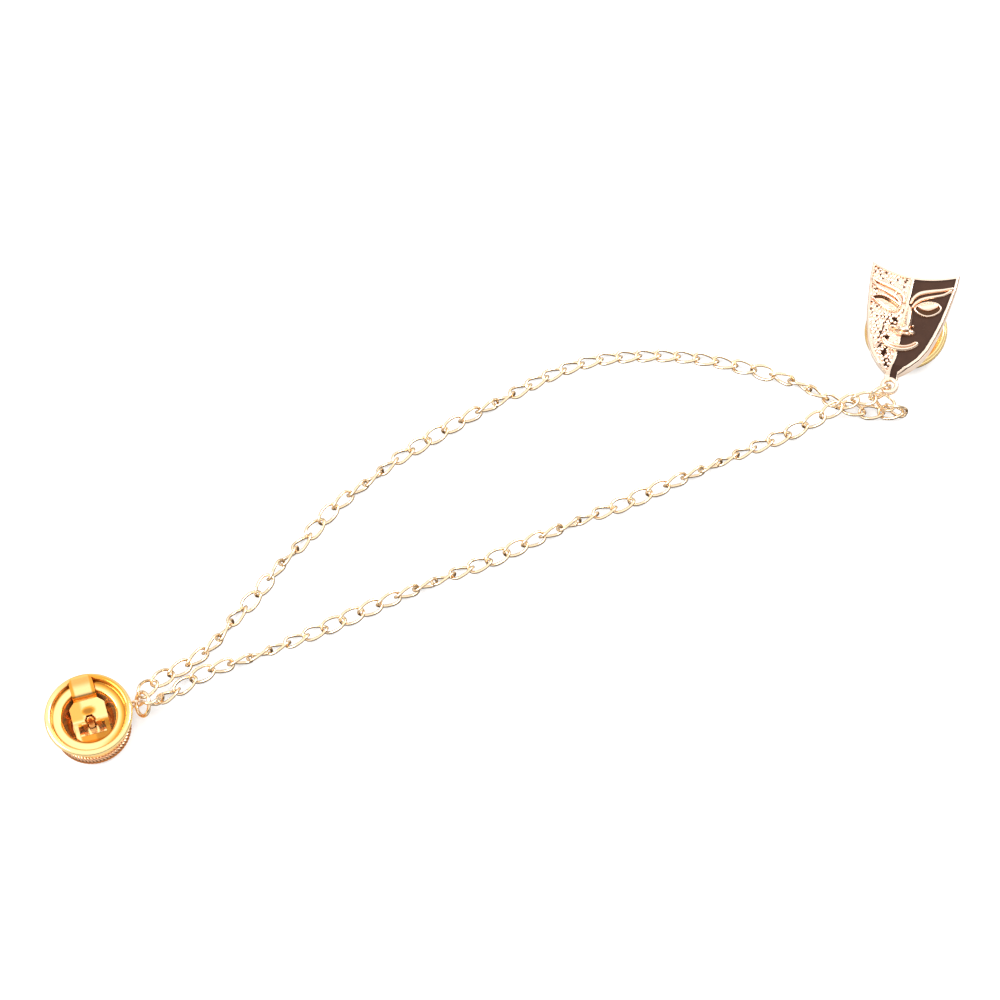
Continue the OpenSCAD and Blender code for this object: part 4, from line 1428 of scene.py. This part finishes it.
        # Painted stripes of shade across the eye.
        ripple = 0.2 * inside * np.clip(np.sin((s.y - 0.4 * s.x) * 9), 0, 1) ** 2
        s.shade = np.maximum(np.where(inside > 0.5, ripple, np.maximum(s.shade, ripple)), self.crescent_shade * dark)
        s.lift((self.relief + self.field_depth) * lid)

    def raise_nose(self, s: Surface) -> None:
        """Raises the nose: a ridge with a broad right flank, which grows to a folded base with shade painted in the
        fold.

        Args:
            s: the surface so far.
        """
        x, y, deep = s.x, s.y, self.field_depth
        t = spline(self.nose, 6)[::-1]
        left, crest, right, h = [np.interp(y, t[:, 0], t[:, k]) for k in (1, 2, 3, 4)]
        off = np.where(x < crest, (crest - x) / (crest - left), (x - crest) / (right - crest))
        across = np.clip(1 - off ** 1.8, 0, 1)
        on = (y > t[0, 0]) & (y < t[-1, 0])
        nose = np.where(on, -deep + (h + deep) * across, -1.0)
        for cx, cy, rx, ry, top in self.nose_balls:
            ball = np.sqrt(np.clip(1 - ((x - cx) / rx) ** 2 - ((y - cy) / ry) ** 2, 0, 1))
            nose = np.maximum(nose, np.where(ball > 0, -deep + (top + deep) * ball, -1.0))
        fold = np.exp(-self.from_line(x, y, stroke(self.nose_fold, 10, self.nose_fold_w / 2)) ** 2)
        nose = np.where(nose > 0, nose - self.nose_fold_d * fold, nose)
        # Painted shade in the fold under the nose.
        s.shade = np.where(s.base + nose > s.z, self.nose_fold_shade * fold, s.shade)
        s.z = np.maximum(s.z, s.base + nose)

    def lean(self, y: np.ndarray) -> np.ndarray:
        """Gives how far the dividing line has moved to the viewer's left, toward the neck."""
        return self.neck_lean * smooth_step((self.chin_y + 2.2 - y) / 2.2)

    def field_mask(self, x: np.ndarray, y: np.ndarray) -> np.ndarray:
        """Gives how far inside a sunk field a point lies, in millimetres, with enamel on the right.

        Args:
            x: distance to the viewer's right.
            y: height on the mask.

        Returns:
            The distance to the field's edge, negative outside.
        """
        s = self.share_down(y)
        across = x + self.lean(y)
        side = self.side_w(y) - self.rim * (1 + 0.6 * s) - np.abs(x)
        neck = self.waist_w - 0.45 * self.rim - np.abs(x)
        side = np.where((y < self.chin_y + 0.9) & (across > 0), np.maximum(side, neck), side)
        top = self.top_y(x) - self.rim - y
        split = np.abs(across) - self.divider_w / 2
        low = np.where(across > 0, y - (self.layout.eye_y + 0.9), y - (self.chin_y + 0.35))
        return np.minimum(np.minimum(side, top), np.minimum(split, low))

    def grid(self, first: float, last: float, columns: int) -> tuple[np.ndarray, np.ndarray]:
        """Lays a grid over the mask and its neck.

        Args:
            first: share of the half width at the grid's left edge, from -1.
            last: share at its right edge, up to 1.
            columns: number of points across.

        Returns:
            x and y of the grid's points, from the neck up.
        """
        s = np.linspace(first, last, columns)
        neck = np.linspace(self.layout.eye_y + 0.8, self.chin_y, self.neck_rows, endpoint=False)
        face = np.linspace(self.chin_y, self.corner_y, self.rows)
        level = np.concatenate([neck, face])
        x = np.outer(self.side_w(level), s)
        stretch = (self.top_y(x) - self.chin_y) / (self.corner_y - self.chin_y)
        y = np.where(level[:, None] < self.chin_y, level[:, None],
                     self.chin_y + (level[:, None] - self.chin_y) * stretch)
        return x, y

    def build(self) -> None:
        """Builds and dresses the plate, the enamel and the grains."""
        self.build_plate()
        self.build_enamel()
        self.build_grains()

    def build_plate(self) -> None:
        """Builds the cast plate with its features, neck, ring eye and post."""
        lay = self.layout
        x, y = self.grid(-1, 1, self.columns)
        s = self.surface(x, y)
        side = (self.side_w(y) - np.abs(x)) * 0.93
        edge = np.clip(np.minimum(side, self.top_y(x) - y), 0, self.edge_round)
        z = s.z - self.edge_round + np.sqrt(self.edge_round ** 2 - (self.edge_round - edge) ** 2)
        # Painted shade in hollows, where the front lies below its blurred self, and the features' painted shade.
        painted_shade = np.maximum(np.clip((self.blurred(z, 5) - z - 0.035) / 0.15, 0, 0.45), s.shade)
        points = np.stack([x, y, z], axis=-1).reshape(-1, 3)
        rim = self.border(*x.shape)
        n = len(rim)
        faces = grid_faces(*x.shape)
        loops = [rim]
        for k, level in enumerate(self.wall_levels):
            loops.append(list(range(x.size + k * n, x.size + (k + 1) * n)))
            faces += band_faces(*loops[-2:])
        faces.append(tuple(loops[-1][::-1]))
        wall = [points[rim] * [1, 1, 1 - level] for level in self.wall_levels]
        parts = MeshParts()
        parts.add(lay.face.put(np.concatenate([points, *wall])), faces,
                  np.concatenate([painted_shade.reshape(-1), np.zeros(n * len(wall))]))
        self.add_eye_ring(parts)
        parts.add_spun(post_profile(self.post_d, self.post_len, self.tip_len, 0.2), 32,
                       lay.mask.inner((0, 0, 0), turned("x", 180)))
        dress(parts.make("mask_casting", Finish.PALE, 55), "chain", "mask_plate")

    @staticmethod
    def blurred(z: np.ndarray, reach: int) -> np.ndarray:
        """Averages each height with its neighbours in the grid.

        Args:
            z: heights on the grid.
            reach: how many neighbours count on each side.

        Returns:
            The averaged heights.
        """
        out = z.copy()
        for axis in (0, 1):
            total = np.zeros_like(out)
            for k in range(-reach, reach + 1):
                index = np.clip(np.arange(out.shape[axis]) + k, 0, out.shape[axis] - 1)
                total += np.take(out, index, axis=axis)
            out = total / (2 * reach + 1)
        return out

    @staticmethod
    def border(rows: int, cols: int) -> list[int]:
        """Lists the outer points of a grid in order around it.

        Args:
            rows: the grid's rows.
            cols: its columns.

        Returns:
            The points' numbers.
        """
        index = np.arange(rows * cols).reshape(rows, cols)
        return np.concatenate([index[0], index[1:, -1], index[-1, -2::-1], index[-2:0:-1, 0]]).tolist()

    def add_eye_ring(self, parts: MeshParts) -> None:
        """Adds the rounded eye below the chin that holds the jump ring.

        Args:
            parts: the mesh that is being gathered.
        """
        lay = self.layout
        mid, half = (lay.eye_r + lay.eye_hole_r) / 2, (lay.eye_r - lay.eye_hole_r) / 2
        profile = []
        for k in range(24):
            t = math.radians(k * 15)
            c, s = math.cos(t), math.sin(t)
            profile.append((mid + half * math.copysign(abs(c) ** 0.7, c),
                            lay.eye_t / 2 * (1 + math.copysign(abs(s) ** 0.7, s))))
        profile.append(profile[0])
        parts.add_spun(profile, 72, lay.face.inner((0, lay.eye_y, 0)))

    def slab(self, x: np.ndarray, y: np.ndarray, top: np.ndarray, bottom: np.ndarray) -> tuple[np.ndarray, Faces]:
        """Closes a sheet between an upper and a lower surface.

        Args:
            x: distance to the viewer's right.
            y: height on the mask.
            top: heights of the upper surface.
            bottom: heights of the lower surface.

        Returns:
            The points and the faces.
        """
        points = np.concatenate([np.stack([x, y, z], axis=-1).reshape(-1, 3) for z in (top, bottom)])
        faces = grid_faces(*x.shape)
        faces += [tuple(k + x.size for k in f[::-1]) for f in faces]
        rim = self.border(*x.shape)
        return points, faces + band_faces(rim, [k + x.size for k in rim])

    def build_enamel(self) -> None:
        """Builds the enamel that fills the viewer's right half and runs down the neck."""
        x, y = self.grid(0.012, 0.97, 64)
        y = np.minimum(y, self.top_y(x) - self.rim * 0.6)
        x = x - self.lean(y) * np.linspace(1, 0, x.shape[1])
        base = self.front(x, y)
        near = np.clip(self.field_mask(x, y) / 0.35, 0, 1)
        top = base - 0.03 - 0.03 * smooth_step(near)
        parts = MeshParts()
        points, faces = self.slab(x, y, top, base - self.field_depth + 0.02)
        # Shade painted along the enamel's edge, where it meets the raised border.
        painted_shade_level = np.concatenate([0.5 * (1 - near).reshape(-1), np.zeros(x.size)])
        parts.add(self.layout.face.put(points), faces, painted_shade_level)
        dress(parts.make("enamel_fill", Finish.BROWN), "chain", "mask_enamel")

    def grain_places(self) -> list[Triple]:
        """Lists the grains of the viewer's left half: place and radius.

        Returns:
            Rows of x, y and radius.
        """
        rng = np.random.default_rng(7)
        pitch = self.grain_pitch
        i, j = np.meshgrid(np.arange(14), np.arange(38))
        x = -(self.divider_w / 2 + pitch * (0.5 + i + (j % 2) / 2)).reshape(-1)
        y = (self.corner_y - pitch * self.grain_row * (j + 0.3)).reshape(-1)
        x = x + rng.uniform(-self.grain_jitter, self.grain_jitter, x.size)
        y = y + rng.uniform(-self.grain_jitter, self.grain_jitter, x.size)
        r = self.grain_d / 2 * rng.uniform(0.82, 1.1, x.size)
        keep = self.field_mask(x, y) > r - 0.14
        for line in (*self.brow_lines()[1::2], self.mouth_line()):
            keep &= self.from_line(x, y, line + [0, 0, self.grain_gap]) > 1
        keep &= self.within(x, y, self.left_eye) < -self.grain_gap
        t = np.array(self.nose)[::-1]
        keep &= (x < np.interp(y, t[:, 0], t[:, 1]) - self.grain_gap) | (y > t[-1, 0]) | (y < t[0, 0] - 0.1)
        ball_x, ball_y, half_x, half_y, _ = self.nose_balls[0]
        keep &= np.hypot((x - ball_x) / (half_x + 0.2), (y - ball_y) / (half_y + 0.18)) > 1
        for row in self.cheek_lines:
            keep &= self.from_line(x, y, stroke(row, 8, 0.16)) > 1
        for px, py in self.pits:
            keep &= np.hypot(x - px, y - py) > 0.3
        keep &= rng.uniform(0, 1, x.size) > self.grain_loss
        return [(float(a), float(b), float(c)) for a, b, c, k in zip(x, y, r, keep) if k]

    def bed_shade(self, x: np.ndarray, y: np.ndarray) -> np.ndarray:
        """Gives the shade painted on the bed: some everywhere, more toward the chin, with dots between grains, pits,
        patches and cheek lines.

        Args:
            x: distance to the viewer's right.
            y: height on the mask.

        Returns:
            The shade, from 0 to 1.
        """
        shade = self.bed_painted_shade + self.chin_painted_shade * smooth_step((-4.2 - y) / 0.8)
        for cx, cy, r in self.painted_shade_patches:
            shade = np.maximum(shade, 3.0 * (1 - np.hypot(x - cx, y - cy) / r))
        for row in self.cheek_lines:
            shade = np.maximum(shade, 1.6 - self.from_line(x, y, stroke(row, 12, 0.12)))
        rng = np.random.default_rng(11)
        for gx, gy, _ in self.grain_places():
            if rng.uniform() < (self.chin_dot_share if gy < self.chin_from else self.dot_share):
                px, py = gx + rng.choice([-0.5, 0.5]) * self.grain_pitch, gy + 0.29 * self.grain_pitch
                shade = np.maximum(shade, 2.0 - np.hypot(x - px, y - py) / self.dot_r)
        for px, py in self.pits:
            shade = np.maximum(shade, 1.5 - np.hypot(x - px, y - py) / 0.2)
        return np.clip(shade, 0, 1)

    def build_grains(self) -> None:
        """Builds the bed of round grains on the viewer's left half."""
        x, y = self.grid(-0.97, -0.012, 84)
        y = np.maximum(np.minimum(y, self.top_y(x) - self.rim * 0.6), self.chin_y + 0.3)
        x = x - self.lean(y) * np.linspace(0, 1, x.shape[1])
        low = self.front(x, y) - self.field_depth
        shade = self.bed_shade(x, y)
        parts = MeshParts()
        points, faces = self.slab(x, y, low + self.bed_rise - self.bed_dip * shade, low - self.bed_under)
        parts.add(self.layout.face.put(points), faces, np.concatenate([shade.reshape(-1), np.zeros(x.size)]))
        ring, levels = 12, 7
        t = np.radians(np.linspace(0, 130, levels + 1))
        profile = np.stack([np.sin(t), np.cos(t)], axis=1)
        for gx, gy, r in self.grain_places():
            z = float(self.front(np.array(gx), np.array(gy))) - self.field_depth + self.grain_rise
            parts.add_spun(profile * r, ring, self.layout.face.inner((gx, gy, z)))
        dress(parts.make("grain_field", Finish.GRAIN, 70), "chain", "mask_grains")


# Studio


@dataclass(frozen=True)
class Window:
    """A square soft light that faces the object."""

    name: str
    at: Triple
    size: float
    power: float

    def build(self) -> None:
        """Makes the light; its place and size are in metres."""
        data = bpy.data.lights.new(self.name, "AREA")
        data.shape, data.size, data.energy = "SQUARE", self.size, self.power
        lamp = new_object(self.name, data)
        lamp.location = self.at
        lamp.rotation_euler = (-Vector(self.at)).to_track_quat("-Z", "Y").to_euler()


@dataclass
class Studio:
    """Plain pale floor with a painted reflection for polished metal, soft light and the camera at the photograph's
    angle.
    """

    look_at: Triple = (-2.3, 2.65, 0.0)
    eye: Triple = (-2.3, -157.95, 344.40)
    lens: float = 100.98
    floor_size: float = 4.0
    floor_tone: float = 0.95
    floor_rough: float = 0.9
    floor_specular: float = 0.1
    floor_drop: float = 0.02
    # Painted reflection: the floor glows warm around the round brooch and close to the metal, seen only in
    # reflections.
    warm_spot: Triple = (-55.3, -30.4, 0.0)
    warm_from: float = 6.5
    warm_to: float = 8.5
    warm_glow: float = 0.95
    warm_colour: Colour = (1.0, 0.58, 0.22)
    near_colour: Colour = (1.0, 0.72, 0.45)
    near_from: float = 2.5
    near_to: float = 6.0
    floor_glow: float = 0.9
    floor_dim: float = 0.1
    floor_bright: float = 0.55
    floor_fade: Pair = (-0.35, 0.15)
    floor_lift: float = 0.45
    sky: float = 1.45
    ground_colour: Colour = (0.25, 0.23, 0.22)
    sky_rings: tuple[Pair, ...] = (
        (0.08, 0.3), (0.22, 0.6), (0.34, 1.0), (0.62, 1.0), (0.70, 0.8), (0.80, 0.8), (0.88, 1.05))
    dim_side: Triple = (0.6, -0.8, 0.0)
    dim_colour: Colour = (0.06, 0.035, 0.015)
    dim_share: float = 0.92
    dim_edge: Pair = (0.05, 0.45)
    dim_top: Pair = (0.3, 0.5)
    windows: tuple[Window, ...] = (Window("window_left", (-0.5, -0.1, 0.5), 0.35, 4.0),
                                   Window("window_right", (0.45, 0.25, 0.55), 0.3, 3.0))

    def build(self) -> None:
        """Builds the floor, the light and the camera."""
        self.build_camera()
        self.build_floor()
        self.build_light()
        log.info("studio: camera %.0f mm from the middle of the view", math.dist(self.eye, self.look_at))

    def build_camera(self) -> None:
        """Makes the camera."""
        data = bpy.data.cameras.new("camera")
        data.lens, data.sensor_width = self.lens, 36.0
        data.clip_start, data.clip_end = 0.01, 20.0
        camera = new_object("camera", data)
        camera.location = Vector(self.eye) * MM
        away = Vector(self.look_at) - Vector(self.eye)
        camera.rotation_euler = away.to_track_quat("-Z", "Y").to_euler()
        bpy.context.scene.camera = camera

    def build_floor(self) -> None:
        """Makes the pale floor."""
        mesh = bpy.data.meshes.new("studio_floor")
        s, low = self.floor_size / 2, -self.floor_drop * MM
        mesh.from_pydata([(x * s, y * s, low) for x, y in ((-1, -1), (1, -1), (1, 1), (-1, 1))], [], [(0, 1, 2, 3)])
        floor = new_object("studio_floor", mesh)
        mat, nodes, shader = start_material("pale_floor")
        nodes.feed(shader, {"Base Color": (self.floor_tone,) * 3, "Roughness": self.floor_rough,
                            "Specular IOR Level": self.floor_specular})
        self.paint_floor_reflections(nodes, shader)
        mesh.materials.append(mat)

    def paint_floor_reflections(self, nodes: Nodes, shader: bpy.types.Node) -> None:
        """Paints the floor seen in polished metal: a glow for glossy rays only, falling off towards the dim side of
        the room.

        Args:
            nodes: the maker of the floor's nodes.
            shader: the floor's plain shader.
        """
        where, path = nodes.node("NewGeometry"), nodes.node("LightPath")
        side = nodes.measure("DOT_PRODUCT", where.outputs["Incoming"], self.dim_side)
        share = nodes.span(side, self.floor_fade, (self.floor_dim, self.floor_bright))
        far = nodes.span(path.outputs["Ray Length"], (self.near_from * MM, self.near_to * MM), (0.0, 1.0))
        tone = nodes.mix(far, share, self.floor_glow)
        warm_painted_mix = nodes.blend(tone, self.near_colour, WHITE)
        spot = nodes.measure("DISTANCE", where.outputs["Position"], tuple(v * MM for v in self.warm_spot))
        near = nodes.span(spot, (self.warm_from * MM, self.warm_to * MM), (1.0, 0.0))
        glow = nodes.node("Emission", Strength=nodes.mix(near, tone, self.warm_glow),
                          Color=nodes.blend(near, warm_painted_mix, self.warm_colour))
        lift = nodes.node("Emission", Strength=1.0)
        plain = nodes.node("MixShader", {0: self.floor_lift, 1: shader.outputs["BSDF"], 2: lift.outputs["Emission"]})
        both = nodes.node("MixShader", {0: path.outputs["Is Glossy Ray"], 1: plain.outputs["Shader"],
                                        2: glow.outputs["Emission"]})
        out = next(n for n in nodes.tree.nodes if n.type == "OUTPUT_MATERIAL")
        nodes.feed(out, {"Surface": both.outputs["Shader"]})

    def build_light(self) -> None:
        """Makes the light tent: a white dome with a dim gap near the horizon towards the viewer."""
        world = bpy.data.worlds.new("light_tent")
        bpy.context.scene.world = world
        world.use_nodes = True
        nodes = Nodes(world.node_tree)
        where = nodes.node("TexCoord").outputs["Generated"]
        height = nodes.node("SeparateXYZ", Vector=where).outputs["Z"]
        dome = nodes.node("ValToRGB", Fac=height)
        ramp = dome.color_ramp
        ramp.elements[0].position, ramp.elements[0].color = 0.0, (*self.ground_colour, 1)
        ramp.elements[1].position, ramp.elements[1].color = 1.0, (*WHITE, 1)
        for at, tone in self.sky_rings:
            ramp.elements.new(at).color = (tone, tone, tone, 1)
        side = nodes.measure("DOT_PRODUCT", where, self.dim_side)
        aside = nodes.span(side, self.dim_edge, (0.0, self.dim_share))
        dim = nodes.math("MULTIPLY", aside, nodes.span(height, self.dim_top, (1.0, 0.0)))
        nodes.feed(nodes.tree.nodes["Background"], {
            "Color": nodes.blend(dim, dome.outputs["Color"], self.dim_colour), "Strength": self.sky})
        bpy.context.scene.view_settings.view_transform = "Standard"
        for window in self.windows:
            window.build()


def main() -> None:
    """Builds the studio and the sub-assemblies in order."""
    logging.basicConfig(level=logging.INFO, format="%(name)s: %(message)s")
    layout = Layout()
    Studio().build()
    first = JumpRing("round_jump_ring", layout.round_ring(), layout)
    last = JumpRing("mask_jump_ring", layout.mask_ring(), layout)
    first.build()
    last.build()
    Strand("chain_long", layout, LONG_ROUTE, LONG_ENDS, LONG_ROLLS, (60, 77)).build(first, last)
    Strand("chain_short", layout, SHORT_ROUTE, SHORT_ENDS, SHORT_ROLLS, (-20, 12)).build(first, last)
    RoundBrooch(layout).build()
    MaskBrooch(layout).build()
    ButterflyClutch("round", layout.round_clutch, second_reach=0.4).build()
    ButterflyClutch("mask", layout.mask_clutch).build()


if __name__ == "__main__":
    main()
